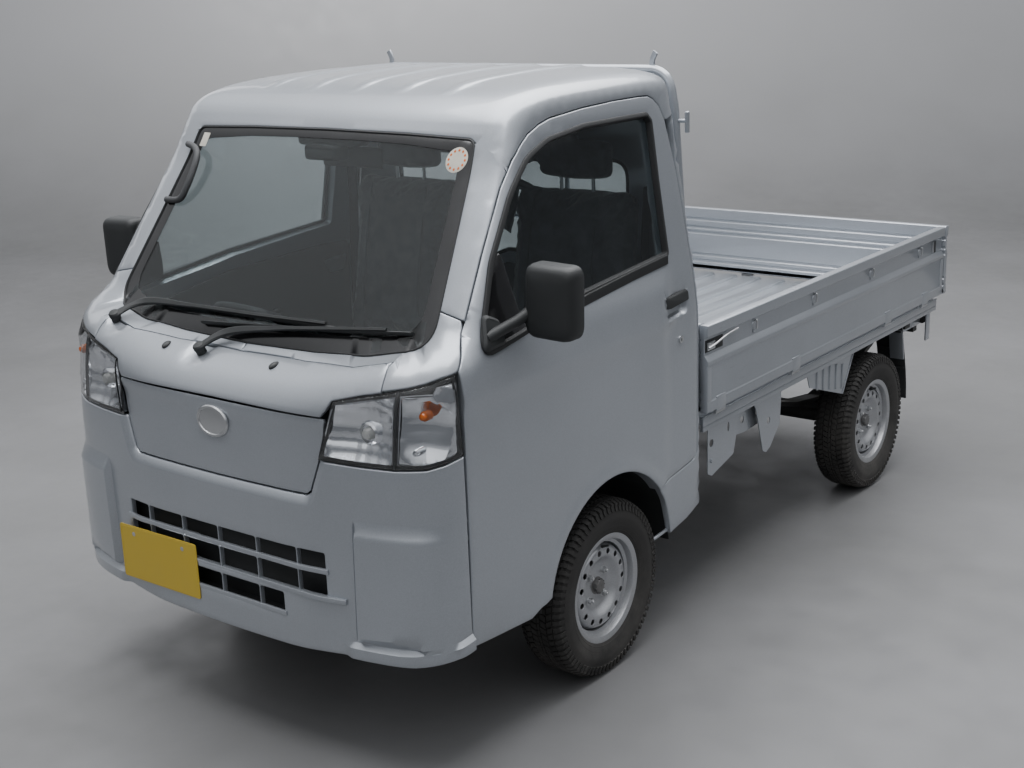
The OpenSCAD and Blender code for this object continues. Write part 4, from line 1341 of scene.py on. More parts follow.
class TRUCK_OT_glass(bpy.types.Operator):
    """Windshield with its dark border and stickers, rear window and door windows"""

    bl_idname = "truck.glass"
    bl_label = "Windows"

    def execute(self, context):
        e = EDGE
        shield = e["shield"]
        chart = Chart((0, -1, 0.4), (0, -600, 1100))
        sh = Shape().add(panel(chart, shield, thick=5, depth=3.5, roll=1.2, gap=1.2, grid=60, step=24))
        piece("windshield", sh, [MAT["glass"]], replaces=["cab_glass"], slot="window_glass")
        band = fillet([[0, 1118], [300, 1126], [430, 1134], [560, 1160], [494, 1574], [300, 1588], [120, 1592],
                       [0, 1592], [-120, 1592], [-300, 1588], [-494, 1574], [-560, 1160], [-430, 1134],
                       [-300, 1126]], [0, 200, 200, 60, 40, 0, 0, 0, 0, 0, 40, 60, 200, 200])
        hole = on_front(densify(band, 20))
        sh = Shape().add(panel(chart, shield, [hole], thick=0.8, depth=2.6, roll=0.5, gap=0.6, grid=40, step=20))
        piece("windshield_border", sh, [MAT["gloss"]])
        # rubber round the windshield
        n = skin_normal(shield)
        sh = Shape().add(sweep(shield - n * 3, fillet([[-3, -4], [3, -4], [3, 3.2], [-3, 3.2]], 1.4, 3), closed=True))
        piece("windshield_seal", sh, [MAT["seal"]])
        # stickers: a round one with a ring, and a small oblong one, both blank
        sh = Shape()
        a = np.arange(36) * 2 * math.pi / 36
        disc = on_front(np.column_stack([490 + 34 * np.cos(a), 1556 + 31 * np.sin(a)]))
        sh.add(panel(chart, disc, thick=0.5, depth=2.0, roll=0.2, grid=30), 0)
        for k in range(12):
            t = k * math.pi / 6
            dot = on_front(np.column_stack([490 + 26 * math.cos(t) + 3.6 * np.cos(a[::4]),
                                            1556 + 23.5 * math.sin(t) + 3.6 * np.sin(a[::4])]))
            sh.add(panel(chart, dot, thick=0.5, depth=1.6, roll=0.2, grid=30), 1)
        card = on_front(fillet([[-512, 1552], [-484, 1552], [-478, 1590], [-506, 1590]], 3))
        sh.add(panel(chart, card, thick=0.5, depth=2.0, roll=0.2, grid=30), 0)
        piece("blank_stickers", sh, [MAT["card"], MAT["amber"]])
        # rear window
        pane = on_back(densify(fillet([[-466, 1134], [466, 1134], [466, 1446], [-466, 1446]], 58), 24))
        sh = Shape().add(panel(REAR, pane, thick=5, depth=6, roll=1.2, grid=70))
        piece("rear_window", sh, [MAT["glass"]], replaces=["cab_glass"], slot="window_glass")
        pane = panel(SIDE, e["window"], thick=5, depth=9, roll=1.0, gap=1.0, grid=60, step=24)
        for side, sign in (("left", 1), ("right", -1)):
            sh = Shape().add(pane, 0, sign < 0)
            piece("window_" + side, sh, [MAT["glass"]], side + "_door", ["door_glass_" + side], "window_glass")
        return {"FINISHED"}


class TRUCK_OT_headlamps(bpy.types.Operator):
    """Headlamps: clear lens, faceted reflector, side marker with its bulb and dark surround"""

    bl_idname = "truck.headlamps"
    bl_label = "Headlamps"

    def execute(self, context):
        e = EDGE
        low, top = e["lamp_low"], e["lamp_top"]
        outline = np.vstack([low, top[::-1]])
        sh = Shape()
        lens = panel(LAMP, outline, thick=3.5, roll=3, gap=4, grid=34, step=12)
        rim = densify(outline, 10)
        n = skin_normal(rim)
        t = unit(np.roll(rim, -1, 0) - np.roll(rim, 1, 0))
        inward = np.cross(n, t)
        if (inward[0] @ (rim.mean(0) - rim[0])) < 0:
            inward = -inward
        piece("lamp_lenses", sh.pair(lens), [MAT["lens"]], replaces=["headlamps"], slot="lamp_lens")
        # black surround that fills the gap round the lens
        line = rim + inward * 3 - n * 5
        sh = Shape().pair(sweep(line, fillet([[-2.4, -10], [2.4, -10], [1.8, 3.4], [-1.8, 3.4]], 1, 3), closed=True))
        piece("lamp_surrounds", sh, [MAT["gloss"]])

        # reflectors sit behind the lens, split by an upright bar
        def facets(q):
            x, z = q[:, 0], q[:, 2]
            u = (x - 395) / 34.0
            w = (z - 850) / 38.0
            step = 7 * (np.abs(u - np.floor(u) - 0.5)) + 6 * (np.abs(w - np.floor(w) - 0.5))
            bowl = 34 * ((x - 505) / 110.0) ** 2 + 22 * ((z - 925) / 80.0) ** 2
            return np.minimum(bowl, 34) + step

        def side_bowl(q):
            arc = q[:, 0] + np.maximum(0, q[:, 1] + 1640) * 0.9
            rib = 3 * np.abs(((q[:, 2] - 850) / 16.0) % 1 - 0.5)
            return np.minimum(26 * ((arc - 720) / 90.0) ** 2 + 20 * ((q[:, 2] - 960) / 95.0) ** 2, 30) + rib

        main = on_front(densify([[394, 856], [598, 856], [598, 1030], [428, 996]], 16))
        outer = np.vstack([on_front(densify([[614, 858], [690, 860]], 12, closed=False)),
                           on_side([[-1565, 868], [-1522, 880], [-1522, 1062], [-1560, 1054]]),
                           on_front([[690, 1040], [614, 1032]])])
        sh = Shape()
        sh.pair(panel(LAMP, main, thick=4, depth=46, roll=2, grid=9, step=9, lift=facets))
        sh.pair(panel(LAMP, outer, thick=4, depth=42, roll=2, grid=11, step=10, lift=side_bowl))
        # walls of the lamp body, from the surround back to the reflectors
        for loop in (main, outer):
            p = densify(loop, 12)
            m = skin_normal(p)
            a, b = p - m * 9, p - m * 48
            k = len(p)
            c = p.mean(0)
            v = np.vstack([a, b, b + unit(b - c) * 3, a + unit(a - c) * 3])
            f = [[i + r * k, (i + 1) % k + r * k, (i + 1) % k + ((r + 1) % 4) * k, i + ((r + 1) % 4) * k]
                 for r in range(4) for i in range(k)]
            sh.pair((v, f))
        piece("lamp_reflectors", sh, [MAT["chrome"]])
        # bulb with its shade, marker bulb, adjuster caps
        sh = Shape()
        c = on_front([[512, 925]])[0] - [0, -34, 0]
        sh.pair(lathe([(c[1] + 12, 0.4), (c[1] - 14, 0.4), (c[1] - 12, 11), (c[1] - 4, 16), (c[1] + 12, 17)],
                      (c[0], 0, c[2]), "y", 32), 0)
        sh.pair(lathe([(c[1] + 14, 22), (c[1] - 2, 25), (c[1] + 2, 30), (c[1] + 14, 31)], (c[0], 0, c[2]), "y", 40), 1)
        m = on_side([[-1575, 985]])[0]
        m = np.array([668, -1580, 985])
        sh.pair(lathe([(-1560, 0.4), (-1592, 0.4), (-1590, 8), (-1582, 13), (-1560, 13)], (m[0], 0, m[2]), "y", 32), 2)
        m = [650, 0, 893]
        sh.pair(lathe([(-1570, 0.4), (-1602, 0.4), (-1600, 7), (-1592, 9), (-1570, 10)], m, "y", 24), 1)
        piece("lamp_bulbs", sh, [MAT["white"], MAT["chrome"], MAT["amber"]])
        bar_ = np.vstack([on_front(densify([[606, 850], [606, 1044]], 12, closed=False))])
        nb = skin_normal(bar_)
        sh = Shape().pair(sweep(bar_ - nb * 8, fillet([[-6, -5], [6, -5], [6, 4], [-6, 4]], 2, 3)))
        piece("lamp_dividers", sh, [MAT["trim"]])
        return {"FINISHED"}


class TRUCK_OT_mirrors(bpy.types.Operator):
    """Door mirrors with their arms and bases, and the two wipers"""

    bl_idname = "truck.mirrors"
    bl_label = "Mirrors and wipers"

    def execute(self, context):
        for side, sign in (("left", 1), ("right", -1)):
            flip = sign < 0
            sh = Shape()
            # housing: rounded shell, deeper at its middle
            outline = fillet([[759, 1130], [908, 1126], [911, 1318], [765, 1322]], [34, 40, 30, 26], 8)
            c = outline.mean(0)
            rows = []
            for y, k in ((-1223, 0.90), (-1226, 0.955), (-1232, 1.0), (-1262, 1.0), (-1276, 0.975), (-1284, 0.92),
                         (-1289, 0.80), (-1291, 0.55), (-1291.5, 0.2)):
                q = c + (outline - c) * k
                rows.append(np.insert(q, 1, y, axis=1))
            m = len(outline)
            v = np.vstack(rows)
            f = [[i + a * m, (i + 1) % m + a * m, (i + 1) % m + (a + 1) * m, i + (a + 1) * m]
                 for a in range(len(rows) - 1) for i in range(m)]
            f += [list(range(m))[::-1], [(len(rows) - 1) * m + i for i in range(m)]]
            sh.add((v, f), 0, flip)
            # arm and base
            sh.add(tube([[722, -1392, 1146], [736, -1350, 1160], [752, -1300, 1176], [775, -1262, 1200]],
                        [17, 15, 15, 17], 20), 0, flip)
            base = fillet([[-1422, 1113], [-1330, 1119], [-1332, 1180], [-1382, 1204]], 14)
            p = on_side(base)
            p[:, 0] = np.maximum(p[:, 0], 700)
            n = skin_normal(p)
            c3 = p.mean(0)
            v = np.vstack([p, p + n * 8, c3 + (p - c3) * 0.8 + n * 15])
            m = len(p)
            f = [[i + a * m, (i + 1) % m + a * m, (i + 1) % m + (a + 1) * m, i + (a + 1) * m]
                 for a in (0, 1) for i in range(m)] + [list(range(m))[::-1], [2 * m + i for i in range(m)]]
            sh.add((v, f), 0, flip)
            # mirror glass, set in its rim
            q = c + (outline - c) * 0.86
            face = np.vstack([np.insert(q, 1, -1222.5, axis=1), np.insert(q, 1, -1219.5, axis=1)])
            m = len(q)
            f = [[i, (i + 1) % m, (i + 1) % m + m, i + m] for i in range(m)] + [list(range(m))[::-1],
                                                                              [m + i for i in range(m)]]
            sh.add((face, f), 1, flip)
            piece("mirror_" + side + "_body", sh, [MAT["black"], MAT["chrome"]], side + "_door", ["mirror_" + side],
                  "dark_plastic")
        sh = Shape()
        wiper = ((-520, 1094, [[-450, 1128], [-250, 1138], [20, 1142], [270, 1146]], [[-420, 1140], [300, 1140]]),
                 (-135, 1050, [[-60, 1092], [120, 1118], [300, 1136], [470, 1150]], [[-190, 1106], [548, 1150]]))
        for x, z, arm, blade in wiper:
            foot = on_front([[x, z]])[0]
            n = skin_normal(foot[None])[0]
            path = [foot + n * 13]
            for k, (ax, az) in enumerate(arm):
                q = on_front([[ax, az]])[0]
                path.append(q + skin_normal(q[None])[0] * (20 - 1.5 * k))
            path = spline(np.array(path), 8)
            wide = np.interp(np.linspace(0, 1, len(path)), [0, 0.1, 0.35, 0.5, 1], [17, 14, 10, 6, 4.5])
            p, t, _ = frames_along(path)
            v, f = [], []
            for k in range(len(p)):
                up = unit(skin_normal(p[k][None])[0])
                side_ = np.cross(t[k], up)
                w = wide[k]
                for a, b in ((-w, -3.5), (w, -3.5), (w, 1.5), (w * 0.7, 4.5), (-w * 0.7, 4.5), (-w, 1.5)):
                    v.append(p[k] + side_ * a + up * b)
            for k in range(len(p) - 1):
                f += [[k * 6 + j, k * 6 + (j + 1) % 6, (k + 1) * 6 + (j + 1) % 6, (k + 1) * 6 + j] for j in range(6)]
            f += [list(range(6))[::-1], [(len(p) - 1) * 6 + j for j in range(6)]]
            sh.add((np.array(v), f))
            # pivot cap
            u = unit(np.cross(n, [1.0, 0, 0]))
            w2 = np.cross(n, u)
            ang = np.arange(24) * 2 * math.pi / 24
            rows = [[foot + n * h + r * (u * math.cos(a) + w2 * math.sin(a)) for a in ang]
                    for r, h in ((15, -8), (15, 4), (17, 6), (17, 17), (14, 21), (6, 23))]
            v = np.array(rows).reshape(-1, 3)
            f = [[i * 24 + j, i * 24 + (j + 1) % 24, (i + 1) * 24 + (j + 1) % 24, (i + 1) * 24 + j]
                 for i in range(5) for j in range(24)] + [list(range(24))[::-1], list(range(120, 144))]
            sh.add((v, f))
            # blade: carrier on top, rubber edge below
            a, b = np.array(blade[0]), np.array(blade[1])
            line = on_front(a + (b - a) * np.linspace(0, 1, 22)[:, None])
            ln = skin_normal(line)
            sh.add(sweep(line + ln * 10.5, fillet([[-5, -4], [5, -4], [3, 4.5], [-3, 4.5]], 1.5, 2)))
            sh.add(sweep(line + ln * 3.6, [[-1.2, -6.2], [1.2, -6.2], [2.6, 4], [-2.6, 4]]))
        piece("wiper_set", sh, [MAT["black"]], replaces=["wipers"], slot="dark_plastic")
        return {"FINISHED"}


# ---------- repeats made with Geometry Nodes ----------


def repeat_tree(name, ring):
    """Copies of a template in a row or round an axis, with named inputs for count and spacing."""
    t = bpy.data.node_groups.new(name, "GeometryNodeTree")
    t.interface.new_socket("Geometry", in_out="INPUT", socket_type="NodeSocketGeometry")
    made = {}
    for label, kind, value in (("Template", "NodeSocketObject", None), ("Material", "NodeSocketMaterial", None),
                               ("Count", "NodeSocketInt", 8), ("Pitch", "NodeSocketVector", (0, 0, 0)),
                               ("Start", "NodeSocketVector", (0, 0, 0)), ("Seed", "NodeSocketInt", 3),
                               ("Wobble", "NodeSocketFloat", 0.0)):
        s = t.interface.new_socket(label, in_out="INPUT", socket_type=kind)
        if value is not None:
            s.default_value = value
        made[label] = s.identifier
    t.interface.new_socket("Geometry", in_out="OUTPUT", socket_type="NodeSocketGeometry")
    i, o = t.nodes.new("NodeGroupInput"), t.nodes.new("NodeGroupOutput")
    line = t.nodes.new("GeometryNodeMeshLine")
    line.mode = "OFFSET"
    t.links.new(i.outputs["Count"], line.inputs["Count"])
    info = t.nodes.new("GeometryNodeObjectInfo")
    t.links.new(i.outputs["Template"], info.inputs["Object"])
    put = t.nodes.new("GeometryNodeInstanceOnPoints")
    t.links.new(line.outputs[0], put.inputs["Points"])
    t.links.new(info.outputs["Geometry"], put.inputs["Instance"])
    rand = t.nodes.new("FunctionNodeRandomValue")
    rand.data_type = "FLOAT"
    t.links.new(i.outputs["Seed"], rand.inputs["Seed"])
    spread = t.nodes.new("ShaderNodeMath")
    spread.operation = "MULTIPLY_ADD"
    t.links.new(rand.outputs[1], spread.inputs[0])
    t.links.new(i.outputs["Wobble"], spread.inputs[1])
    spread.inputs[2].default_value = 1.0
    t.links.new(spread.outputs[0], put.inputs["Scale"])
    if ring:
        line.inputs["Offset"].default_value = (0, 0, 0)
        index = t.nodes.new("GeometryNodeInputIndex")
        turn = t.nodes.new("ShaderNodeVectorMath")
        turn.operation = "SCALE"
        t.links.new(i.outputs["Pitch"], turn.inputs[0])
        t.links.new(index.outputs[0], turn.inputs["Scale"])
        t.links.new(turn.outputs[0], put.inputs["Rotation"])
        t.links.new(i.outputs["Start"], line.inputs["Start Location"])
    else:
        t.links.new(i.outputs["Start"], line.inputs["Start Location"])
        t.links.new(i.outputs["Pitch"], line.inputs["Offset"])
    real = t.nodes.new("GeometryNodeRealizeInstances")
    t.links.new(put.outputs[0], real.inputs[0])
    mat = t.nodes.new("GeometryNodeSetMaterial")
    t.links.new(real.outputs[0], mat.inputs["Geometry"])
    t.links.new(i.outputs["Material"], mat.inputs["Material"])
    t.links.new(mat.outputs[0], o.inputs[0])
    t["inputs"] = made
    return t


TREES = {}


def repeated(shape, material, count, pitch, start=(0, 0, 0), ring=False, wobble=0.0):
    """Points and faces, in millimetres, of a template repeated by the nodes."""
    key = "Ring of copies" if ring else "Row of copies"
    if key not in TREES:
        TREES[key] = repeat_tree(key, ring)
    tree = TREES[key]
    me = bpy.data.meshes.new("template")
    me.from_pydata((np.vstack(shape.v) * MM).tolist(), [], shape.f)
    src = bpy.data.objects.new("template", me)
    bpy.context.scene.collection.objects.link(src)
    host_me = bpy.data.meshes.new("host")
    host = bpy.data.objects.new("host", host_me)
    bpy.context.scene.collection.objects.link(host)
    mod = host.modifiers.new("Repeat", "NODES")
    mod.node_group = tree
    ids = tree["inputs"]
    mod[ids["Template"]] = src
    mod[ids["Material"]] = material
    mod[ids["Count"]] = int(count)
    mod[ids["Pitch"]] = [float(a) for a in pitch]
    mod[ids["Start"]] = [float(a) * MM for a in start] if not ring else [0.0, 0.0, 0.0]
    mod[ids["Wobble"]] = wobble
    deps = bpy.context.evaluated_depsgraph_get()
    res = bpy.data.meshes.new_from_object(host.evaluated_get(deps))
    v = np.array([list(p.co) for p in res.vertices]) / MM
    f = [list(p.vertices) for p in res.polygons]
    for o in (host, src):
        bpy.data.objects.remove(o)
    for m in (me, host_me, res):
        bpy.data.meshes.remove(m)
    if ring:
        v = v + np.asarray(start, float)
    return v, f


# ---------- the bed ----------


def gate_profile(out_, in_, low, high):
    """Section of a drop gate: across (outwards) against up, with its ledge, belt and folds."""
    pts = [(in_, high - 3), (in_ + 3, high), (out_ - 3, high), (out_, high - 3), (out_, high - 36),
           (out_ - 13, high - 44), (out_ - 13, high - 98), (out_ - 0.6, high - 115), (out_, high - 118),
           (out_, high - 127),
           (out_ - 1.5, high - 130), (out_ - 4, high - 134), (out_ - 4, low + 42), (out_ - 3, low + 38),
           (out_ - 1, low + 35), (out_ - 1, low + 4), (out_ - 4, low), (in_ + 4, low), (in_, low + 4),
           (in_, low + 20)]
    # two pairs of grooves on the inner face
    for z in (675, 702, 731, 834, 857, 895):
        pts += [(in_, z - 8), (in_ + 5, z - 4), (in_ + 5, z + 4), (in_, z + 8)]
    return pts


class TRUCK_OT_bed(bpy.types.Operator):
    """Bed floor with its ribs, front panel and the load guard behind the cab"""

    bl_idname = "truck.bed"
    bl_label = "Bed and load guard"

    def execute(self, context):
        s = setting("truck_bed")
        high = np.array(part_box("bed_floor")[1]) / MM
        x = 702.0
        y0, y1 = -271.0, high[1]
        sh = Shape()
        sh.add(slab((-x, y0, 617), (x, y1 - 0.5, 653), 2))
        n, pitch, h = s.floor_ribs, s.rib_pitch / MM, s.rib_height / MM
        # bed side rails that carry the gates
        for z0, z1, xa in ((594, 612, 703), (612, 639, 703)):
            sh.pair(slab((xa, -299, z0), (715, y1 - 1, z1), 2))
        sh.pair(tube([[713, -298, 640], [713, y1 - 2, 640]], 3.2, 10))
        rib = Shape().add(prism(fillet([[-33, 0], [-25, h], [25, h], [33, 0], [33, -3], [-33, -3]],
                                       [3, 5, 5, 3, 0, 0], 3), "y", y0 + 36, y1 - 30, 3, 2))
        start = (-(n - 1) / 2 * pitch, 0, 652.8)
        sh.add(repeated(rib, MAT["bed_paint"], n, (pitch * MM, 0, 0), start))
        piece("bed_floor_skin", sh, [MAT["bed_paint"]], replaces=["bed_floor"], slot="silver_paint")
        # front panel with pressed grooves
        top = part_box("bed_front_panel")[1][2] / MM
        prof = [(-300, 616), (-272, 616)]
        for z in (684, 735, 834, 880):
            prof += [(-272, z - 16), (-279, z - 8), (-279, z + 8), (-272, z + 16)]
        prof += [(-272, top), (-300, top)]
        sh = Shape().add(prism(prof, "x", -702, 702, 1.2, 2))
        sh.pair(slab((640, -308, 616), (702, -300, top - 1), 2))
        piece("bed_front_skin", sh, [MAT["bed_paint"]], replaces=["bed_front_panel"], slot="silver_paint")
        # guard: one bent bar, feet, braces, hooks
        fy = (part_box("guard_frame")[0][1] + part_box("guard_frame")[1][1]) / 2 / MM
        half = np.vstack([spline([[0, fy, 1722], [300, fy, 1722], [500, fy, 1722], [545, fy, 1719], [575, fy, 1703],
                                  [592, fy, 1676], [600, fy, 1640], [606, fy, 1606]], 6),
                          [[627, fy, 1280], [648, fy, top + 8]]])
        path = np.vstack([flip_x(half)[::-1][:-1], half])
        sh = Shape().add(tube(path, 14, 24))
        sh.pair(soften(slab((628, fy - 13, top), (668, fy + 13, top + 18), 0), 2.5))
        sh.pair(slab((640, fy - 22, top - 120), (674, fy - 14, top + 6), 2))
        sh.add(tube([[-612, fy, 1500], [612, fy, 1500]], 9, 16))
        sh.add(tube([[-628, fy, 1240], [628, fy, 1240]], 9, 16))
        for x_ in (-200, 200):
            sh.add(tube([[x_, fy, 1240], [x_, fy, 1716]], 8, 16))
        # corner horns, flattened, leaning outwards
        sh.pair(sweep(spline([[530, fy, 1728], [528, fy, 1746], [534, fy, 1762], [541, fy, 1774]], 4),
                      fillet([[-4, -9], [4, -9], [4, 9], [-4, 9]], 3, 3)))
        sh.pair(tube([[606, fy, 1570], [648, fy, 1570]], 6, 14))
        sh.pair(tube([[650, fy, 1537], [650, fy, 1597]], 7.5, 16))
        piece("load_guard", sh, [MAT["paint"]], replaces=["guard_frame"], slot="silver_paint")
        return {"FINISHED"}


class TRUCK_OT_gates(bpy.types.Operator):
    """Drop gates of the bed with hinges, rope hooks and latches"""

    bl_idname = "truck.gates"
    bl_label = "Gates"

    def execute(self, context):
        hi = np.array(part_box("side_gate_left")[1]) / MM
        lowest, top = 662.0, hi[2]
        prof = gate_profile(737.5, 705.5, lowest, top)
        y0, y1 = -309.5, 1657.0
        panel_ = prism(prof, "y", y0, y1, 1.0, 2)
        for side, sign in (("left", 1), ("right", -1)):
            flip = sign < 0
            sh = Shape().add(panel_, 0, flip)
            # end posts, hinge straps and barrels
            for a, b in ((y0, y0 + 26), (y1 - 30, y1)):
                sh.add(slab((729, a + 1, lowest + 6), (735.8, b, top - 132), 1.6), 0, flip)
            for y in (-221, 310, 1102, 1474):
                sh.add(soften(slab((730.5, y - 30, 655), (737, y + 30, lowest + 44), 0), 2), 0, flip)
                sh.add(lathe([(y - 30, 0.4), (y + 30, 0.4), (y + 30, 5.5), (y + 28.5, 7), (y - 28.5, 7), (y - 30, 5.5)],
                             (729, 0, 652), "y", 20), 1, flip)
            # rope hooks: a bar bent out of the recess, on a round seat
            for y in (14, 459, 947, 1418):
                sh.add(lathe([(722, 0.5), (728, 0.5), (728.4, 13), (722, 18)], (0, y, 880), "x", 28), 0, flip)
                sh.add(tube(spline([[725, y, 896], [734.5, y, 899], [736.9, y, 892], [736.9, y, 880], [735.4, y, 870]],
                                   5), np.r_[np.full(20, 3.4), 2.6], 10), 1, flip)
                sh.add(slab((723, y - 9, 858), (729, y + 9, 868), 1.5), 0, flip)
            # latch at the front end
            sh.add(slab((723, -306, 858), (727, -196, 897), 2), 2, flip)
            sh.add(slab((727, -300, 864), (732, -252, 890), 2), 1, flip)
            sh.add(tube(spline([[735.5, -300, 874], [736.5, -260, 880], [736.5, -190, 893], [736, -112, 899]], 5), 3.6,
                        10), 1, flip)
            sh.add(lathe([(726, 0.5), (736, 0.5), (735, 9), (726, 11)], (0, -282, 876), "x", 24), 1, flip)
            sh.add(slab((723, y1 - 104, 854), (730, y1 - 96, 900), 1), 1, flip)
            # painted shade: a thin black slab stands for the shadowed slot of the rear latch
            sh.add(slab((723, y1 - 94, 852), (726, y1 - 64, 899), 0.4), 2, flip)
            piece("gate_" + side + "_skin", sh, [MAT["bed_paint"], MAT["zinc"], MAT["black"]], side + "_gate",
                  ["side_gate_" + side], "silver_paint")
        hi = np.array(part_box("tail_gate")[1]) / MM
        prof = gate_profile(hi[1], 1665.5, lowest, top)
        sh = Shape().add(prism(prof, "x", -737, 737, 1.0, 2))
        for x in (-560, -190, 190, 560):
            sh.add(soften(slab((x - 30, hi[1] - 7, 655), (x + 30, hi[1] - 0.5, lowest + 44), 0), 2), 0)
            sh.add(lathe([(x - 30, 0.4), (x + 30, 0.4), (x + 30, 5.5), (x + 28.5, 7), (x - 28.5, 7), (x - 30, 5.5)],
                         (0, hi[1] - 8.5, 652), "x", 20), 1)
        for x in (-520, 0, 520):
            sh.add(tube(spline([[x, hi[1] - 9, 896], [x, hi[1] - 3.8, 899], [x, hi[1] - 3.4, 888],
                                [x, hi[1] - 3.6, 872]], 5), 3.2, 10), 1)
        for s in (1, -1):
            sh.add(slab((s * 700 - 26, hi[1] - 6, 866), (s * 700 + 26, hi[1] - 2, 900), 1.6), 1)
            sh.add(lathe([(hi[1] - 6, 0.5), (hi[1] - 0.6, 0.5), (hi[1] - 1, 9), (hi[1] - 6, 11)],
                         (s * 690, 0, 883), "y", 24), 1)
            sh.add(slab((s * 706 - 20, hi[1] - 4, 878), (s * 706 + 20, hi[1] - 0.8, 888), 1.4), 1)
        piece("tail_gate_skin", sh, [MAT["bed_paint"], MAT["zinc"]], "rear_gate", ["tail_gate"], "silver_paint")
        return {"FINISHED"}


# ---------- wheels ----------


def tyre_profile(r, w, seat):
    side = spline([[seat + 2, 50], [seat + 12, 58], [seat + 30, 67], [seat + 56, w], [r - 44, w - 0.5],
                   [r - 24, w - 5], [r - 12, w - 11], [r - 6, w - 17]], 4)
    top = [[r - 6, w - 24], [r - 6, 0]]
    half = np.vstack([[[seat + 0.6, 42]], side, top])
    p = np.vstack([half, (half * [1, -1])[::-1][1:]])
    return [(b, a) for a, b in p]


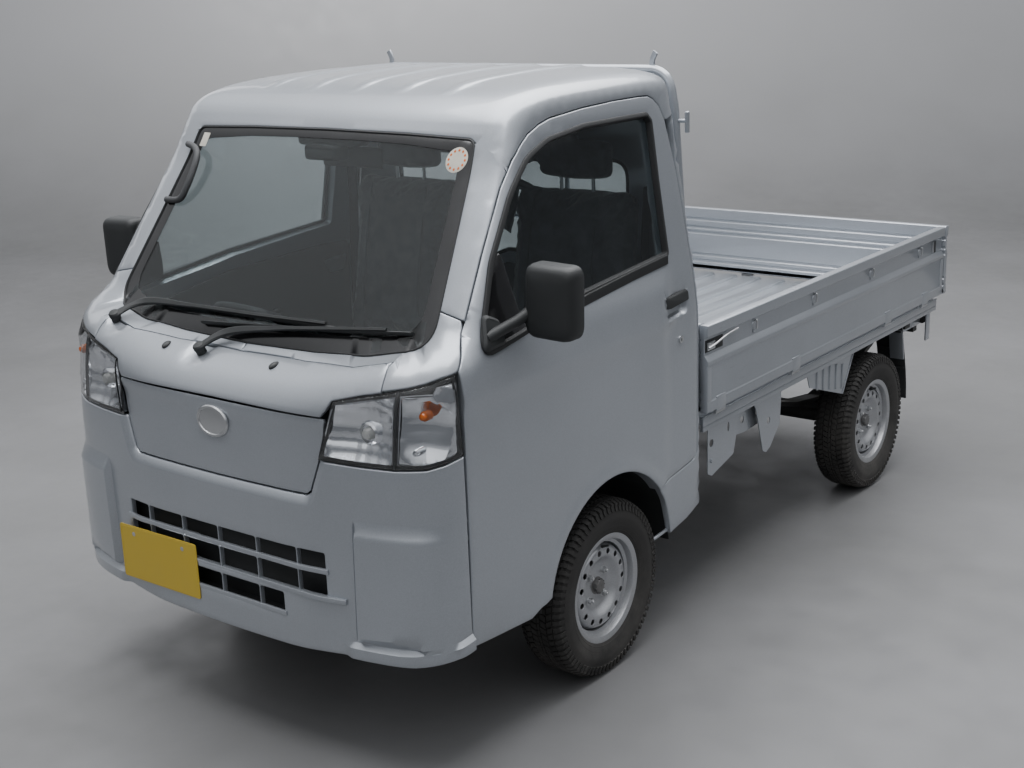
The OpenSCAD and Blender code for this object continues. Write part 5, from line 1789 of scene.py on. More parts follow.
class TRUCK_OT_wheels(bpy.types.Operator):
    """Tyres with their tread blocks, pressed steel wheels, nuts, hubs and valves"""

    bl_idname = "truck.wheels"
    bl_label = "Wheels"

    def execute(self, context):
        s = setting("truck_wheels")
        groove = s.groove / MM
        nodes_ = (("front_left", 1), ("front_right", -1), ("rear_left", 1), ("rear_right", -1))
        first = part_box("tyre_front_left")
        r = (first[1][2] - first[0][2]) / 2 / MM
        seat = 152.0
        w = (first[1][0] - first[0][0]) / 2 / MM
        tyre = Shape().add(lathe(tyre_profile(r, w, seat), (0, 0, 0), "x", 120))
        # raised rings and fine moulded lines on the side walls
        for s_ in (1, -1):
            for rad, dx, dr in ((seat + 24, 0.9, 2.4), (r - 34, 1.0, 3.0), (seat + 38, 0.7, 1.2)):
                x = np.interp(rad, [seat + 12, seat + 30, seat + 56, r - 44, r - 24], [58, 67, w, w - .5, w - 5])
                tyre.add(lathe([(s_ * (x - 1.5), rad - dr), (s_ * (x + dx), rad - dr * .5),
                                (s_ * (x + dx), rad + dr * .5), (s_ * (x - 1.5), rad + dr)], (0, 0, 0), "x", 96))
        n = s.tread_blocks
        step = 2 * math.pi / n
        arc = r * step

        def block(x0, x1, length, slant, base=r - groove - 1.2, crown=0.0):
            """Tread block with a slanted edge, wrapped to the tyre's round."""
            pts = []
            for h, k in ((base, 1.0), (r - 0.9, 1.0), (r, 0.92)):
                for x, y in ((x0, -0.5), (x1, -0.5), (x1, 0.5), (x0, 0.5)):
                    xm = (x0 + x1) / 2
                    xx = xm + (x - xm) * k
                    a = (y * length * k + slant * (xx - xm)) / r
                    hh = h - crown * max(0, abs(xx) - 40) ** 2
                    pts.append([xx, hh * math.sin(a), hh * math.cos(a)])
            f = [[0, 3, 2, 1], [8, 9, 10, 11]] + [[i + a, (i + 1) % 4 + a, (i + 1) % 4 + a + 4, i + a + 4]
                                                  for a in (0, 4) for i in range(4)]
            return np.array(pts), f

        def repeat(solid, count, offset=0.0):
            t = Shape().add(turned(solid, np.zeros(3), (1, 0, 0), offset))
            return repeated(t, MAT["tyre"], count, (2 * math.pi / count, 0, 0), ring=True)

        for x0, x1, length, slant, off in ((50, w - 2.5, arc * 0.60, 0.10, 0), (29, 47, arc * 0.78, 0.45, 0.3),
                                           (7, 26, arc * 0.82, -0.35, 0.6), (-4, 4, arc * 0.9, 0.0, 0.1)):
            deg = off * 360 / n
            crown = 0.0115
            tyre.add(repeat(block(x0, x1, length, slant, crown=crown), n, deg))
            if x0 > 0:
                tyre.add(repeat(block(-x1, -x0, length, slant, crown=crown), n, deg + 180.0 / n))
        # shoulder lugs running down on to the side wall
        for s_ in (1, -1):
            a = arc * 0.30
            pts = []
            for x, z, wd in ((w - 20, r - 8, a), (w - 8, r - 12.5, a), (w - 4.4, r - 22, a * .9),
                             (w - 1.2, r - 34, a * .6)):
                pts += [[s_ * (x + 2.2), -wd, z + 1.2], [s_ * (x + 2.2), wd, z + 1.2]]
            base = [[s_ * (abs(p[0]) - 6), p[1], p[2] - 3] for p in pts]
            v = np.array(pts + base)
            m = len(pts)
            f = [[2 * i, 2 * i + 1, 2 * i + 3, 2 * i + 2] for i in range(3)]
            f += [[m + 2 * i + 2, m + 2 * i + 3, m + 2 * i + 1, m + 2 * i] for i in range(3)]
            f += [[2 * i, 2 * i + 2, m + 2 * i + 2, m + 2 * i] for i in range(3)]
            f += [[2 * i + 3, 2 * i + 1, m + 2 * i + 1, m + 2 * i + 3] for i in range(3)]
            f += [[1, 0, m, m + 1], [m - 2, m - 1, 2 * m - 1, 2 * m - 2]]
            tyre.add(repeat((v, f), n, 0 if s_ > 0 else 180.0 / n))

        rim = Shape()
        barrel = [(60, seat + 14), (57, seat + 16), (54, seat + 1), (34, seat - 1), (26, seat - 14), (-28, seat - 14),
                  (-34, seat - 1), (-54, seat + 1), (-57, seat + 16), (-60, seat + 14), (-58, seat - 3),
                  (-46, seat - 6), (-38, seat - 19), (-26, seat - 20), (24, seat - 18), (33, seat - 17),
                  (38, seat - 7), (50, seat - 5), (56, seat - 3), (60, seat + 4)]
        rim.add(lathe(barrel, (0, 0, 0), "x", 128))
        # disc with its dish, drawn flat and raised to its section; round vents and nut seats cut through
        reach, height = zip(*spline([[22, 22], [34, 22], [44, 20], [58, 19], [66, 20], [76, 26], [86, 36], [93, 42],
                                     [100, 44], [112, 43.5], [120, 41], [126, 34], [130, 24], [133, 14]], 4))
        vents = s.vents
        circles = []
        a = np.arange(24) * 2 * math.pi / 24
        for k in range(vents):
            t = 2 * math.pi * k / vents
            circles.append(np.column_stack([108 * math.cos(t) + 8.6 * np.cos(a), 108 * math.sin(t) + 8.6 * np.sin(a)]))
        for k in range(s.nuts):
            t = 2 * math.pi * (k + 0.5) / s.nuts
            circles.append(np.column_stack([52 * math.cos(t) + 6 * np.cos(a), 52 * math.sin(t) + 6 * np.sin(a)]))
        big = np.arange(120) * 2 * math.pi / 120
        outer = np.column_stack([133 * np.cos(big), 133 * np.sin(big)])
        bore = np.column_stack([22 * np.cos(big[::3]), 22 * np.sin(big[::3])])
        extra = []
        for rad in (30, 38, 46, 60, 66, 71, 76, 81, 86, 90, 94, 98, 118, 122, 125, 128, 131):
            k = int(rad * 0.9) + 12
            b = np.arange(k) * 2 * math.pi / k + rad
            extra.append(np.column_stack([rad * np.cos(b), rad * np.sin(b)]))
        for c in circles:
            extra.append(c.mean(0) + (c - c.mean(0)) * 1.22)
        extra = np.vstack(extra)
        ok = np.ones(len(extra), bool)
        for c in circles:
            ok &= np.linalg.norm(extra - c.mean(0), axis=1) > np.linalg.norm(c[0] - c.mean(0)) + 1.2
        flat, tris, _ = fill([outer, bore] + circles, extra[ok])
        used = np.unique(tris)
        back_of = -np.ones(len(flat), int)
        back_of[used] = np.arange(len(used))
        flat, tris = flat[used], back_of[tris]
        rad = np.hypot(*flat.T)
        x = np.interp(rad, reach, height)
        sink = np.zeros(len(flat))
        for c in circles:
            d = np.linalg.norm(flat - c.mean(0), axis=1) - np.linalg.norm(c[0] - c.mean(0))
            sink = np.maximum(sink, 1.3 * np.clip(1 - d / 1.5, 0, 1))
        top = np.column_stack([x - sink, flat])
        rim.add(shell(top, tris, np.column_stack([x - 3.4, flat])))
        # welded lip where the disc meets the barrel
        rim.add(lathe([(10, 131), (17, 134), (14, seat - 18), (8, seat - 18)], (0, 0, 0), "x", 96))
        hub = Shape()
        hub.add(lathe([(2, 0.5), (38, 0.5), (39.5, 8), (39.5, 15), (37, 19.5), (32, 21), (24, 21.5), (22.5, 27),
                       (2, 27)], (0, 0, 0), "x", 48))
        # castellated grease cap edge
        tooth = Shape().add(slab((30, -2, 21), (37, 2, 23.5), 0.6))
        hub.add(repeated(tooth, MAT["cast"], 12, (2 * math.pi / 12, 0, 0), ring=True))
        nut = Shape()
        hexa = [[10.2 * math.cos(k * math.pi / 3), 10.2 * math.sin(k * math.pi / 3)] for k in range(6)]
        nut.add(prism(hexa, "x", 18, 32, 1.2, 2))
        nut.add(lathe([(17, 5), (22, 5), (20.4, 12.5), (17.6, 12.8)], (0, 0, 0), "x", 24))
        nut.add(lathe([(24, 0.5), (39, 0.5), (38.4, 4.2), (37, 5), (24, 5)], (0, 0, 0), "x", 16))
        t0 = Shape()
        ang = math.pi / s.nuts
        for v, f in ((np.vstack(nut.v), nut.f),):
            t0.add((v + [0, 52 * math.cos(ang), 52 * math.sin(ang)], f))
        nuts = repeated(t0, MAT["zinc"], s.nuts, (2 * math.pi / s.nuts, 0, 0), ring=True)
        valve = tube([[44, 0, 128], [58, 0, 133], [68, 0, 137]], [5.5, 3.6, 3.4], 14)
        for name, sign in nodes_:
            a_, b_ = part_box("tyre_" + name)
            c = (np.array(a_) + np.array(b_)) / 2 / MM
            body = name + "_wheel"

            def put(shape, mats, label, replaces=(), slot=None, sharp=34):
                v = np.vstack(shape.v) * [sign, 1, 1] + c
                out_ = Shape()
                out_.v, out_.f, out_.m, out_.n = [v], shape.f, shape.m, len(v)
                return piece(label, out_, mats, body, replaces, slot, sharp)

            put(tyre, [MAT["tyre"]], "tyre_skin_" + name, ["tyre_" + name], "tyre_rubber", 40)
            put(rim, [MAT["wheel"]], "wheel_disc_" + name, ["rim_" + name], "wheel_paint", 30)
            fit = Shape()
            fit.add((np.vstack(hub.v), hub.f), 0).add(nuts, 1).add(valve, 2)
            put(fit, [MAT["cast"], MAT["zinc"], MAT["black"]], "hub_and_nuts_" + name)
        return {"FINISHED"}


# ---------- inside the cab ----------


def swell(ob, hold=None, pressure=4.0, reach=0.026, voxel=0.006):
    """Turn a closed block into a stuffed cushion with a short cloth run."""
    scene = bpy.context.scene
    me = ob.data
    bm = bmesh.new()
    bm.from_mesh(me)
    bmesh.ops.recalc_face_normals(bm, faces=bm.faces)
    bm.to_mesh(me)
    bm.free()
    rem = ob.modifiers.new("Remesh", "REMESH")
    rem.mode = "VOXEL"
    rem.voxel_size = voxel
    deps = bpy.context.evaluated_depsgraph_get()
    new = bpy.data.meshes.new_from_object(ob.evaluated_get(deps))
    ob.modifiers.remove(rem)
    ob.data = new
    start = np.array([list(v.co) for v in new.vertices])
    pins = ob.vertex_groups.new(name="pins")
    for i, p in enumerate(start):
        if hold is not None and hold(p):
            pins.add([i], 1.0, "REPLACE")
    cloth = ob.modifiers.new("Cloth", "CLOTH")
    c = cloth.settings
    c.use_pressure = True
    c.uniform_pressure_force = pressure
    c.effector_weights.gravity = 0.0
    c.tension_stiffness = c.compression_stiffness = 18
    c.bending_stiffness = 1.5
    c.quality = 4
    if hold is not None:
        c.vertex_group_mass = "pins"
    cloth.collision_settings.use_collision = False
    scene.frame_start, scene.frame_end = 1, 20
    cloth.point_cache.frame_start, cloth.point_cache.frame_end = 1, 20
    for k in range(1, 21):
        scene.frame_set(k)
    deps = bpy.context.evaluated_depsgraph_get()
    done = bpy.data.meshes.new_from_object(ob.evaluated_get(deps))
    end = np.array([list(v.co) for v in done.vertices])
    move = end - start
    far = np.linalg.norm(move, axis=1, keepdims=True)
    end = start + move * np.minimum(1.0, reach / np.maximum(far, 1e-9))
    done.vertices.foreach_set("co", end.ravel())
    ob.modifiers.clear()
    ob.vertex_groups.clear()
    ob.data = done
    scene.frame_set(1)
    return ob


def cushion(name, outline, x0, x1, material, hold=None, **kw):
    """Stuffed block from a (y, z) side outline."""
    rows = []
    p = fillet(outline, 26, 5)
    m = len(p)
    c = p.mean(0)
    for x, k in ((x0, 0.86), (x0 + 12, 0.96), (x0 + 34, 1.0), (x1 - 34, 1.0), (x1 - 12, 0.96), (x1, 0.86)):
        rows.append(np.insert(c + (p - c) * k, 0, x, axis=1))
    v = np.vstack(rows)
    f = [[i + a * m, (i + 1) % m + a * m, (i + 1) % m + (a + 1) * m, i + (a + 1) * m]
         for a in range(len(rows) - 1) for i in range(m)]
    f += [list(range(m))[::-1], [(len(rows) - 1) * m + i for i in range(m)]]
    sh = Shape().add((v, f))
    ob = piece(name, sh, [material], slot="seat_cloth", sharp=80)
    swell(ob, hold, **kw)
    ob.data.materials.clear()
    ob.data.materials.append(material)
    ob.data.polygons.foreach_set("use_smooth", [True] * len(ob.data.polygons))
    sub = ob.modifiers.new("Smooth", "SUBSURF")
    sub.levels = sub.render_levels = 1
    return ob


class TRUCK_OT_seats(bpy.types.Operator):
    """Two seats with stuffed cushions, backs and headrests, their piping, belts and rails"""

    bl_idname = "truck.seats"
    bl_label = "Seats"

    def execute(self, context):
        first = True
        for side, sign in (("left", 1), ("right", -1)):
            x = 340 * sign
            reps = ["seats"] if first else []
            first = False
            base = cushion("seat_cushion_" + side, [[-1004, 700], [-512, 696], [-512, 800], [-760, 812], [-960, 832],
                                                    [-1008, 800]], x - 226, x + 226, MAT["cloth"],
                           hold=lambda p: p[2] < 0.705)
            cushion("seat_back_" + side, [[-560, 832], [-482, 832], [-392, 1360], [-450, 1378], [-480, 1330]],
                    x - 214, x + 214, MAT["cloth"], hold=lambda p: p[1] > -0.482 + (p[2] - 0.832) * 0.166)
            cushion("headrest_" + side, [[-480, 1410], [-402, 1398], [-396, 1512], [-462, 1524]], x - 118,
                    x + 118, MAT["cloth"], reach=0.014)
            if reps:
                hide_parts(*reps)
            # sewn lines and piping over the cushions
            sh = Shape()
            for dx in (-120, 120):
                p = spline([[x + dx, -992, 842], [x + dx, -900, 846], [x + dx, -760, 834], [x + dx, -600, 824]], 6)
                sh.add(tube(p + [0, 0, 2], 2.2, 8))
                p = spline([[x + dx, -572, 900], [x + dx, -548, 1060], [x + dx, -514, 1230], [x + dx, -482, 1350]], 6)
                sh.add(tube(p + [0, -10, 0], 2.2, 8))
            piece("seat_seams_" + side, sh, [MAT["trim"]])
            sh = Shape()
            for dx in (-60, 60):
                sh.add(tube([[x + dx, -430, 1360], [x + dx, -432, 1425]], 6, 14), 0)
            for dx in (-190, 170):
                sh.add(slab((x + dx, -1000, 681), (x + dx + 24, -520, 690), 2), 0)
            sh.add(slab((x + sign * -232, -520, 700), (x + sign * -232 + 12, -470, 850), 4), 1)
            # belt: webbing from the pillar to the buckle, with its plate
            xo = x + sign * 262
            sh.add(sweep(spline([[xo, -440, 1390], [xo - sign * 4, -452, 1200], [xo - sign * 2, -460, 980],
                                 [xo, -470, 720]], 8), fillet([[-23, -1], [23, -1], [23, 1], [-23, 1]], 0.8, 2)), 2)
            sh.add(slab((x - sign * 256 - 12, -560, 700), (x - sign * 256 + 12, -530, 860), 5), 1)
            piece("seat_fittings_" + side, sh, [MAT["zinc"], MAT["black"], MAT["trim"]])
        return {"FINISHED"}


class TRUCK_OT_dashboard(bpy.types.Operator):
    """Dashboard, steering column and wheel, pedals, lever, mirror, sensor cover and grab handle"""

    bl_idname = "truck.dashboard"
    bl_label = "Dashboard and wheel"

    def execute(self, context):
        sh = Shape()
        top = fillet([[-1482, 1040], [-1410, 1060], [-1332, 1062], [-1290, 1036], [-1266, 996], [-1288, 905],
                      [-1398, 856], [-1482, 874]], [10, 20, 24, 20, 18, 20, 20, 10])
        sh.add(prism(top, "x", -616, 616, 6, 3), 0)
        # instrument hood ahead of the wheel, centre stack, glove box, vents
        hood = fillet([[-1400, 1052], [-1280, 1050], [-1262, 1010], [-1300, 1000], [-1400, 1000]], 14)
        hood = hood + [0, 8]
        sh.add(prism(hood, "x", -470, -190, 12, 3), 0)
        sh.add(slab((-110, -1272, 880), (110, -1252, 1000), 6), 1)
        for x0 in (-560, -70, 10, 520):
            sh.add(slab((x0, -1276, 950), (x0 + 62, -1258, 990), 5), 1)
            for k in range(4):
                sh.add(slab((x0 + 5, -1262, 956 + k * 8), (x0 + 57, -1254, 959 + k * 8), 0.8), 2)
        sh.add(slab((190, -1296, 880), (540, -1276, 940), 8), 1)
        for x0 in (-60, 0, 60):
            sh.add(lathe([(-1256, 0.5), (-1236, 0.5), (-1234, 12), (-1238, 15), (-1256, 16)], (x0, 0, 905), "y", 28), 2)
        sh.add(slab((-90, -1256, 934), (90, -1248, 978), 3), 2)
        x = -330
        shroud = fillet([[-1292, 930], [-1200, 956], [-1140, 922], [-1203, 815], [-1345, 874]], 18)
        sh.add(prism(shroud, "x", x - 44, x + 44, 10, 3), 0)
        slope = math.tan(math.radians(31))
        sh.add(tube([[x, -1130 + (450 - 1000) * slope, 450], [x, -1130 + (840 - 1000) * slope, 840]], 19, 20), 3)
        for s in (1, -1):
            sh.add(tube(spline([[x + s * 40, -1215, 900], [x + s * 110, -1200, 912], [x + s * 170, -1192, 922]], 4),
                        [8, 8, 7, 6, 6, 6, 7, 8, 6], 12), 2)
        piece("dashboard_skin", sh, [MAT["trim"], MAT["black"], MAT["black"], MAT["chassis"]],
              replaces=["dashboard"], slot="dark_plastic")

        wheel = Shape()
        c = np.array([x, -1130.0, 1000.0])
        a = np.arange(64) * 2 * math.pi / 64
        ring = np.column_stack([171 * np.cos(a), 171 * np.sin(a), np.zeros(64)])
        wheel.add(tube(ring, 13.5 + 0.8 * np.cos(3 * a) ** 2, 16, closed=True), 0)
        for d in (0, 180, 270):
            t = math.radians(d)
            u = np.array([math.cos(t), math.sin(t), 0])
            wheel.add(sweep(spline([u * 36 + [0, 0, -12], u * 90 + [0, 0, -16], u * 130 + [0, 0, -8], u * 168], 5),
                            fillet([[-15, -6], [15, -6], [15, 6], [-15, 6]], 4, 3)), 0)
        wheel.add(lathe([(-60, 0.5), (4, 0.5), (8, 20), (6, 44), (0, 56), (-14, 60), (-28, 54), (-30, 26), (-60, 24)],
                        (0, 0, 0), "z", 48), 0)
        wheel.add(lathe([(7.2, 0.5), (9.4, 0.5), (9.0, 15), (7.2, 17)], (0, 0, 0), "z", 32), 1)
        m = np.array(Matrix.Rotation(math.radians(-31), 3, "X"))
        wheel.v = [np.vstack(wheel.v) @ m.T + c]
        piece("hand_wheel_skin", wheel, [MAT["black"], MAT["trim"]], "hand_wheel", ["steering_wheel"], "dark_plastic")

        sh = Shape()
        # floor mats, pedals and gear lever
        for x0 in (-590, 110):
            sh.add(slab((x0, -1420, 431), (x0 + 470, -1200, 438), 3), 0)
        for x0, z in ((-420, 560), (-330, 560), (-240, 530)):
            sh.add(tube([[x0, -1440, 760], [x0, -1400, 640], [x0, -1372, z + 10]], 7, 12), 1)
            sh.add(turned(slab((x0 - 26, -1376, z - 30), (x0 + 26, -1366, z + 30), 4), np.array([x0, -1370, z]),
                          (1, 0, 0), -20), 2)
        sh.add(tube(spline([[-60, -1100, 681], [-60, -1090, 760], [-70, -1050, 850]], 6), 7, 14), 1)
        sh.add(lathe([(845, 0.5), (845, 14), (860, 20), (882, 22), (898, 15), (902, 0.5)], (-70, -1046, 0), "z", 28), 2)
        sh.add(lathe([(681, 14), (681, 52), (700, 40), (712, 26), (730, 12)], (-60, -1098, 0), "z", 32), 2)
        piece("cab_controls", sh, [MAT["floor_mat"], MAT["steel"], MAT["black"]])

        sh = Shape()
        # sensor cover on the glass, inner mirror, grab handle, sun visors
        for low, high in (((-116, -1172, 1566), (104, -1096, 1602)), ((-70, -1196, 1528), (50, -1128, 1572))):
            sh.add(slab(low, high, 12, 3), 0)
        sh.add(slab((-110, -1080, 1496), (120, -1066, 1556), 9, 3), 0)
        sh.add(tube([[0, -1090, 1590], [4, -1078, 1550]], 7, 12), 0)
        sh.add(tube(spline([[-560, -1300, 1400], [-500, -1300, 1405], [-478, -1288, 1440], [-470, -1268, 1480],
                            [-474, -1240, 1526], [-500, -1222, 1548], [-548, -1206, 1556]], 6), 10, 16), 1)
        for x0 in (-520, 150):
            sh.add(slab((x0, -1120, 1650), (x0 + 370, -980, 1664), 6), 2)
        piece("cab_overhead", sh, [MAT["black"], MAT["trim"], MAT["liner"]])
        return {"FINISHED"}


# ---------- under the bed ----------


class TRUCK_OT_underside(bpy.types.Operator):
    """Brackets, ribbed fender plates, mud flaps, front liners, plates and tail lamps"""

    bl_idname = "truck.underside"
    bl_label = "Underside and lamps"

    def execute(self, context):
        sh = Shape()
        # bracket plate behind the cab with its hole and slot
        a = np.arange(20) * 2 * math.pi / 20
        def plate(outline, holes, x0, x1, mat=0):
            loops = [densify(np.asarray(outline, float), 14)] + [np.asarray(h, float) for h in holes]
            v, f, _ = fill(loops, np.zeros((0, 2)))
            used = np.unique(f)
            back_of = -np.ones(len(v), int)
            back_of[used] = np.arange(len(used))
            v, f = v[used], back_of[f]
            s, faces = shell(np.insert(v, 0, x1, axis=1), f, np.insert(v, 0, x0, axis=1))
            sh.pair((s, faces), mat)
        ring = lambda y, z, r, k=1.0: np.column_stack([y + r * np.cos(a), z + r * k * np.sin(a)])
        plate(fillet([[-232, 612], [-232, 430], [-205, 417], [-60, 452], [-39, 520], [-39, 612]], 12),
              [ring(-208, 530, 13), ring(-96, 556, 7, 2.4)], 690, 693)
        plate(fillet([[-20, 586], [-27, 500], [60, 491], [229, 500], [232, 586]], 10),
              [ring(40, 540, 12), ring(150, 540, 14)], 668, 671)
        plate(fillet([[73, 600], [100, 560], [150, 400], [175, 388], [205, 400], [276, 470], [286, 600]], 12),
              [ring(190, 500, 12)], 690, 693)
        for y0, y1 in ((-232, -39), (73, 286)):
            sh.pair(slab((664, y0, 600), (693, y1, 604), 1.2))
            sh.pair(slab((690, y0 + 2, 596), (700, y1 - 2, 612), 1.6))
        for y, z in ((-160, 590), (-70, 590), (110, 590), (240, 590), (-210, 470)):
            sh.pair(lathe([(692, 0.4), (699, 0.4), (698, 7), (693, 7.6)], (0, y, z), "x", 6))
        # fender plate ahead of the wheel with pressed ribs, its edge flange
        plate(fillet([[470, 612], [502, 538], [778, 447], [880, 612]], 6), [], 693, 696)
        sh.pair(slab((560, 470, 606), (694, 884, 611), 1.5))
        sh.pair(prism([[779, 446], [786, 444], [890, 610], [882, 612]], "x", 640, 699, 1.2, 2))
        rib = Shape().add(prism(fillet([[-7, 0], [7, 0], [4, 6], [-4, 6]], 1.5, 2), "z", 0, 96, 1.4, 2))
        v = np.vstack(rib.v)
        rib = Shape().add((np.column_stack([v[:, 1], v[:, 0], v[:, 2]]), [q[::-1] for q in rib.f]))
        sh.pair(repeated(rib, MAT["paint"], 5, (0, 54 * MM, -12 * MM), (695.2, 560, 516)))
        sh.pair(slab((664, 1357, 540), (668, 1630, 590), 1.5))
        sh.pair(slab((690, 1600, 470), (697, 1640, 612), 2))
        # flap hanger
        sh.pair(turned(slab((640, 1330, 440), (699, 1338, 612), 2), np.array([670, 1334, 612]), (1, 0, 0), 11))
        piece("bed_brackets", sh, [MAT["paint"]], replaces=["rear_fenders"], slot="silver_paint")
        sh = Shape()
        flap = spline([[1326, 614], [1352, 520], [1380, 420], [1396, 340], [1402, 268]], 5)
        sh.pair(prism(np.vstack([flap, (flap + [6, 0])[::-1]]), "x", 582, 699, 1.0, 2))
        for z in (560, 480, 400):
            y = float(np.interp(z, [268, 340, 420, 520, 614], [1402, 1396, 1380, 1352, 1326]))
            sh.pair(slab((586, y - 6, z), (694, y - 2, z + 8), 1.5))
        # front wheel house liner: pressed arc with stiffening folds
        cy = arch_points(90, 90, n=1)[0][0]
        ang = np.radians(np.linspace(2, 176, 70))
        r = ARCH_R + 8
        fold = 4 * smooth((np.abs((np.degrees(ang) % 34) - 17) - 9) / 4)
        line = np.column_stack([np.zeros(70), cy + (r + fold) * np.cos(ang), ARCH_Z + (r + fold) * np.sin(ang)])
        for x0, x1 in ((402, 716),):
            inner = line + [x0, 0, 0]
            outer_ = line + [x1, 0, 0]
            mid = np.array([0, cy, ARCH_Z])
            thick_i = inner + unit((inner - mid) * [0, 1, 1]) * 3
            thick_o = outer_ + unit((outer_ - mid) * [0, 1, 1]) * 3
            k = len(line)
            v = np.vstack([inner, outer_, thick_o, thick_i])
            f = [[i + s * k, i + 1 + s * k, i + 1 + ((s + 1) % 4) * k, i + ((s + 1) % 4) * k]
                 for s in range(4) for i in range(k - 1)]
            f += [[0, k, 2 * k, 3 * k], [4 * k - 1, 3 * k - 1, 2 * k - 1, k - 1]]
            sh.pair((v, f))
        piece("flaps_and_liners", sh, [MAT["black"]])
        # rolled lips at the foot of the cab sides
        sh = Shape()
        sh.pair(tube(spline([[712, -640, 333], [716, -560, 341], [716, -480, 349], [714, -415, 354]], 6), 5.5, 14))
        piece("sill_lips", sh, [MAT["paint"]])

        # number plates: blank, with a pressed rim and two bolts
        sh = Shape()
        front_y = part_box("number_plates")[0][1] / MM

        def number_plate(cx, y, z0, s):
            o = fillet([[cx - 165, z0], [cx + 165, z0], [cx + 165, z0 + 165], [cx - 165, z0 + 165]], 9)
            y0 = y + 3 * s
            sh.add(prism(o, "y", min(y0, y + 0.7 * s), max(y0, y + 0.7 * s), 0.5, 1), 0)
            c = o.mean(0)
            rim_ = c + (o - c) * [0.966, 0.93]
            sh.add(sweep(np.insert(rim_, 1, y + 1.8 * s, axis=1), [[-1.6, -.6], [1.6, -.6], [1, .5], [-1, .5]],
                         closed=True), 0)
            for d in (-105, 105):
                prof = [(y + 0.8 * s, 0.4), (y + 0.1 * s, 0.4), (y + 0.2 * s, 6), (y + 0.9 * s, 7)]
                sh.add(lathe(prof, (cx + d, 0, z0 + 140), "y", 24), 1)

        number_plate(-265, front_y, 355, 1)
        number_plate(0, 1642, 405, -1)
        piece("plates_blank", sh, [MAT["plate"], MAT["zinc"]], replaces=["number_plates"], slot="yellow_plate")

        # tail lamps: body, red cover, pale cover
        sh = Shape()
        sh.pair(slab((432, 1641, 492), (618, 1652, 588), 3), 0)
        for x0, x1, m in ((438, 500, 1), (502, 560, 2), (562, 612, 1)):
            sh.pair(slab((x0, 1650, 498), (x1, 1671, 582), 6, 3), m)
            for k in range(5):
                sh.pair(slab((x0 + 5, 1670, 508 + k * 14), (x1 - 5, 1671.6, 512 + k * 14), 0.6), m)
        piece("tail_lamp_set", sh, [MAT["black"], MAT["red"], MAT["amber"]], replaces=["tail_lamps"], slot="red_lens")
        # rubber stops at the rear end
        sh = Shape()
        sh.pair(lathe([(1600, 0.5), (1640, 0.5), (1652, 10), (1654, 14), (1648, 17), (1600, 17)], (676, 0, 560), "y",
                      24), 0)
        piece("rubber_stops", sh, [MAT["black"]])
        # brake lines, cables and a lamp lead along the frame: fixed pipes clipped to it
        sh = Shape()
        for k, (x0, z) in enumerate(((358, 470), (362, 460))):
            p = spline([[x0, -420, 400 + 8 * k], [x0, -80, 505 - k * 8], [x0, 300, 512 - k * 8],
                        [x0, 1000, 512 - k * 8], [x0, 1560, 512 - k * 8]], 8)
            sh.add(tube(p, 4, 10))
        for y in (100, 420, 900, 1300):
            sh.add(slab((350, y, 498), (368, y + 14, 520), 2))
        piece("brake_pipes", sh, [MAT["steel"]])

        # finishes of the CAD nodes that stay
        keep = {"ladder_frame": "chassis", "cab_floor": "chassis", "engine": "cast", "fuel_tank": "black",
                "front_suspension": "chassis", "rear_axle": "chassis", "drive_shaft": "steel", "exhaust": "steel",
                "knuckle_left": "cast", "knuckle_right": "cast"}
        for name, m in keep.items():
            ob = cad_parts[name]
            ob.data.materials.clear()
            ob.data.materials.append(MAT[m])
        return {"FINISHED"}


# ---------- stage ----------


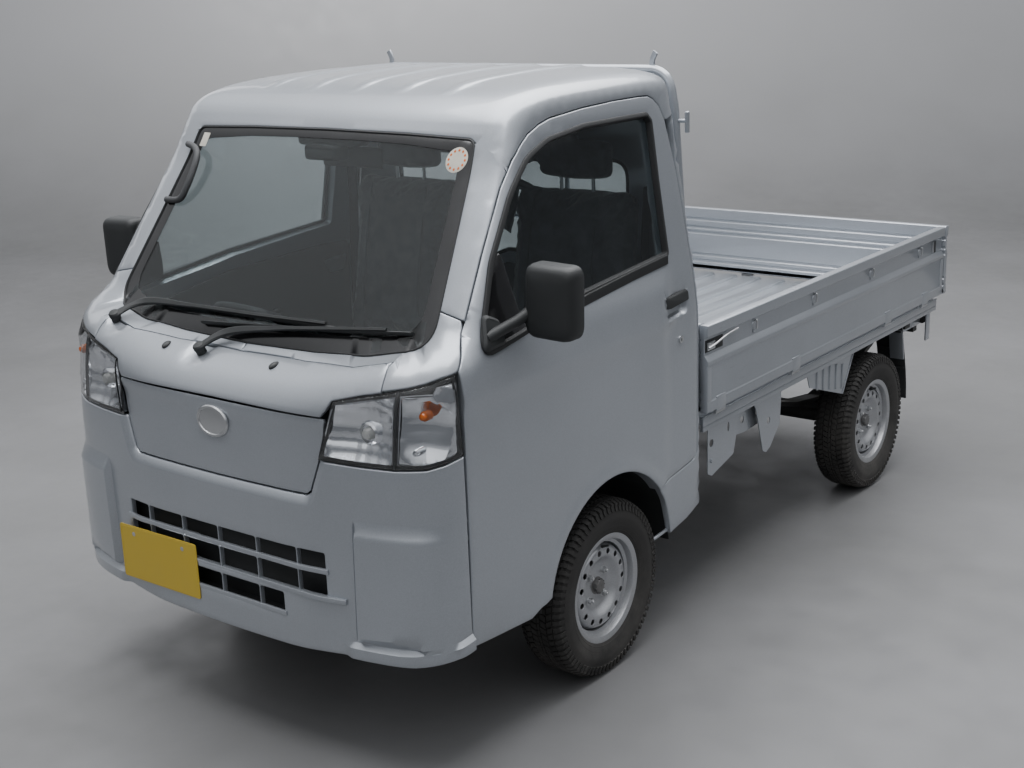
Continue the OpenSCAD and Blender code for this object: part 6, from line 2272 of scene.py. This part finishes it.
class TRUCK_OT_stage(bpy.types.Operator):
    """Pale floor with a soft curve up behind, soft lights and the camera"""

    bl_idname = "truck.stage"
    bl_label = "Stage, lights and camera"

    def execute(self, context):
        scene = bpy.context.scene
        me = bpy.data.meshes.new("floor")
        rows = []
        for y, z in [(-9.0, 0.0), (6.0, 0.0)] + [(6.0 + 3 * math.sin(t), 3 - 3 * math.cos(t))
                                                 for t in np.linspace(0.1, 1.5, 14)] + [(9.05, 9.0)]:
            rows.append([(-14.0, y, z), (14.0, y, z)])
        v = [p for r in rows for p in r]
        f = [(2 * i, 2 * i + 1, 2 * i + 3, 2 * i + 2) for i in range(len(rows) - 1)]
        turn = Matrix.Rotation(math.radians(37.6), 4, "Z")
        me.from_pydata([tuple(turn @ Vector(p)) for p in v], [], f)
        me.polygons.foreach_set("use_smooth", [True] * len(f))
        ob = bpy.data.objects.new("floor", me)
        scene.collection.objects.link(ob)
        m, t, b = finish("floor_pale", (0.42, 0.42, 0.42), 0.42)
        c = out(t.nodes.new("ShaderNodeTexCoord"), "Object")
        tone = remap(t, noise(t, c, 0.8, 5.0), 0.3, 0.7)
        ground = blend_colour(t, tone, (0.155, 0.155, 0.155), (0.20, 0.20, 0.205))
        split = t.nodes.new("ShaderNodeSeparateXYZ")
        t.links.new(c, split.inputs[0])
        rise = remap(t, out(split, "Z"), 0.0, 3.0)
        far = blend_colour(t, rise, ground, (0.62, 0.62, 0.635))
        t.links.new(far, b.inputs["Base Color"])
        t.links.new(remap(t, noise(t, c, 6.0, 6.0), 0.3, 0.7, 0.30, 0.5), b.inputs["Roughness"])
        # seen from behind the curve is clear, so that the object shows from every side
        clear = t.nodes.new("ShaderNodeBsdfTransparent")
        seen = t.nodes.new("ShaderNodeMath")
        seen.operation = "MULTIPLY"
        t.links.new(out(t.nodes.new("ShaderNodeNewGeometry"), "Backfacing"), seen.inputs[0])
        t.links.new(out(t.nodes.new("ShaderNodeLightPath"), "Is Camera Ray"), seen.inputs[1])
        both = t.nodes.new("ShaderNodeMixShader")
        t.links.new(seen.outputs[0], both.inputs[0])
        t.links.new(b.outputs[0], both.inputs[1])
        t.links.new(clear.outputs[0], both.inputs[2])
        end = next(n for n in t.nodes if n.type == "OUTPUT_MATERIAL")
        t.links.new(both.outputs[0], end.inputs["Surface"])
        me.materials.append(m)
        world = bpy.data.worlds.new("Studio")
        world.use_nodes = True
        scene.world = world
        sky = world.node_tree
        bg = sky.nodes["Background"]
        split = sky.nodes.new("ShaderNodeSeparateXYZ")
        sky.links.new(out(sky.nodes.new("ShaderNodeTexCoord"), "Generated"), split.inputs[0])
        shade = blend_colour(sky, remap(sky, out(split, "Z"), 0.15, 0.75), (0.13, 0.135, 0.145), (0.95, 0.97, 1.0))
        sky.links.new(shade, bg.inputs[0])
        bg.inputs[1].default_value = 1.0

        def area(name, place, aim, size, power, colour=(1, 1, 1)):
            data = bpy.data.lights.new(name, "AREA")
            data.shape = "RECTANGLE"
            data.size, data.size_y = size
            data.energy = power
            data.color = colour
            lamp = bpy.data.objects.new(name, data)
            lamp.location = place
            lamp.rotation_euler = (Vector(aim) - Vector(place)).to_track_quat("-Z", "Y").to_euler()
            scene.collection.objects.link(lamp)

        area("ceiling", (0.0, 0.6, 4.8), (0.0, 0.5, 0.6), (4.4, 7.4), 520, (0.98, 0.985, 1.0))
        area("front_wash", (1.0, -7.0, 4.0), (0.0, -0.8, 0.9), (5.0, 2.2), 14, (0.97, 0.98, 1.0))
        area("wall_wash", (-4.5, 3.5, 4.6), (-5.5, 7.5, 1.5), (4.0, 2.0), 110)
        area("far_side", (-6.0, 0.5, 3.6), (0.0, 0.0, 1.0), (5.0, 2.0), 40, (0.97, 0.98, 1.0))
        cam_data = bpy.data.cameras.new("camera")
        cam_data.sensor_width = 36.0
        cam_data.lens = 50.75
        cam_data.clip_end = 100
        cam = bpy.data.objects.new("camera", cam_data)
        az, el, roll = (math.radians(a) for a in (37.6, 15.9, -2.1))
        back = Vector((math.sin(az) * math.cos(el), -math.cos(az) * math.cos(el), math.sin(el)))
        right = (-back).cross(Vector((0, 0, 1))).normalized()
        up = back.cross(right).normalized()
        r2 = right * math.cos(roll) + up * math.sin(roll)
        u2 = up * math.cos(roll) - right * math.sin(roll)
        cam.matrix_world = Matrix((
            (r2.x, u2.x, back.x, 2.8983), (r2.y, u2.y, back.y, -4.1198), (r2.z, u2.z, back.z, 2.0202), (0, 0, 0, 1)))
        scene.collection.objects.link(cam)
        scene.camera = cam
        return {"FINISHED"}


class TRUCK_PT_panel(bpy.types.Panel):
    bl_label = "Flat-bed Truck"
    bl_idname = "TRUCK_PT_panel"
    bl_space_type = "VIEW_3D"
    bl_region_type = "UI"
    bl_category = "Truck"

    def draw(self, context):
        for key, _ in GROUPS:
            group = getattr(context.scene, key)
            box = self.layout.box()
            for name in group.bl_rna.properties.keys():
                if name not in ("rna_type", "name"):
                    box.prop(group, name)
        for op in STEPS:
            self.layout.operator(op.bl_idname, text=op.bl_label)


STEPS = (TRUCK_OT_stage, TRUCK_OT_roof, TRUCK_OT_front_frame, TRUCK_OT_bumper, TRUCK_OT_sides, TRUCK_OT_doors,
         TRUCK_OT_glass, TRUCK_OT_headlamps, TRUCK_OT_mirrors, TRUCK_OT_bed, TRUCK_OT_gates, TRUCK_OT_wheels,
         TRUCK_OT_seats, TRUCK_OT_dashboard, TRUCK_OT_underside)
CLASSES = (TruckPanels, TruckBed, TruckWheels, TruckFinish, *STEPS, TRUCK_PT_panel)


def register():
    for c in CLASSES:
        bpy.utils.register_class(c)
    for key, kind in GROUPS:
        setattr(bpy.types.Scene, key, PointerProperty(type=kind))


def unregister():
    for key, _ in GROUPS:
        delattr(bpy.types.Scene, key)
    for c in reversed(CLASSES):
        bpy.utils.unregister_class(c)


def main():
    register()
    build_finishes()
    EDGE.update(make_outlines())
    for op in STEPS:
        group, name = op.bl_idname.split(".")
        getattr(getattr(bpy.ops, group), name)()
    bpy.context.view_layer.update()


if __name__ == "__main__":
    main()
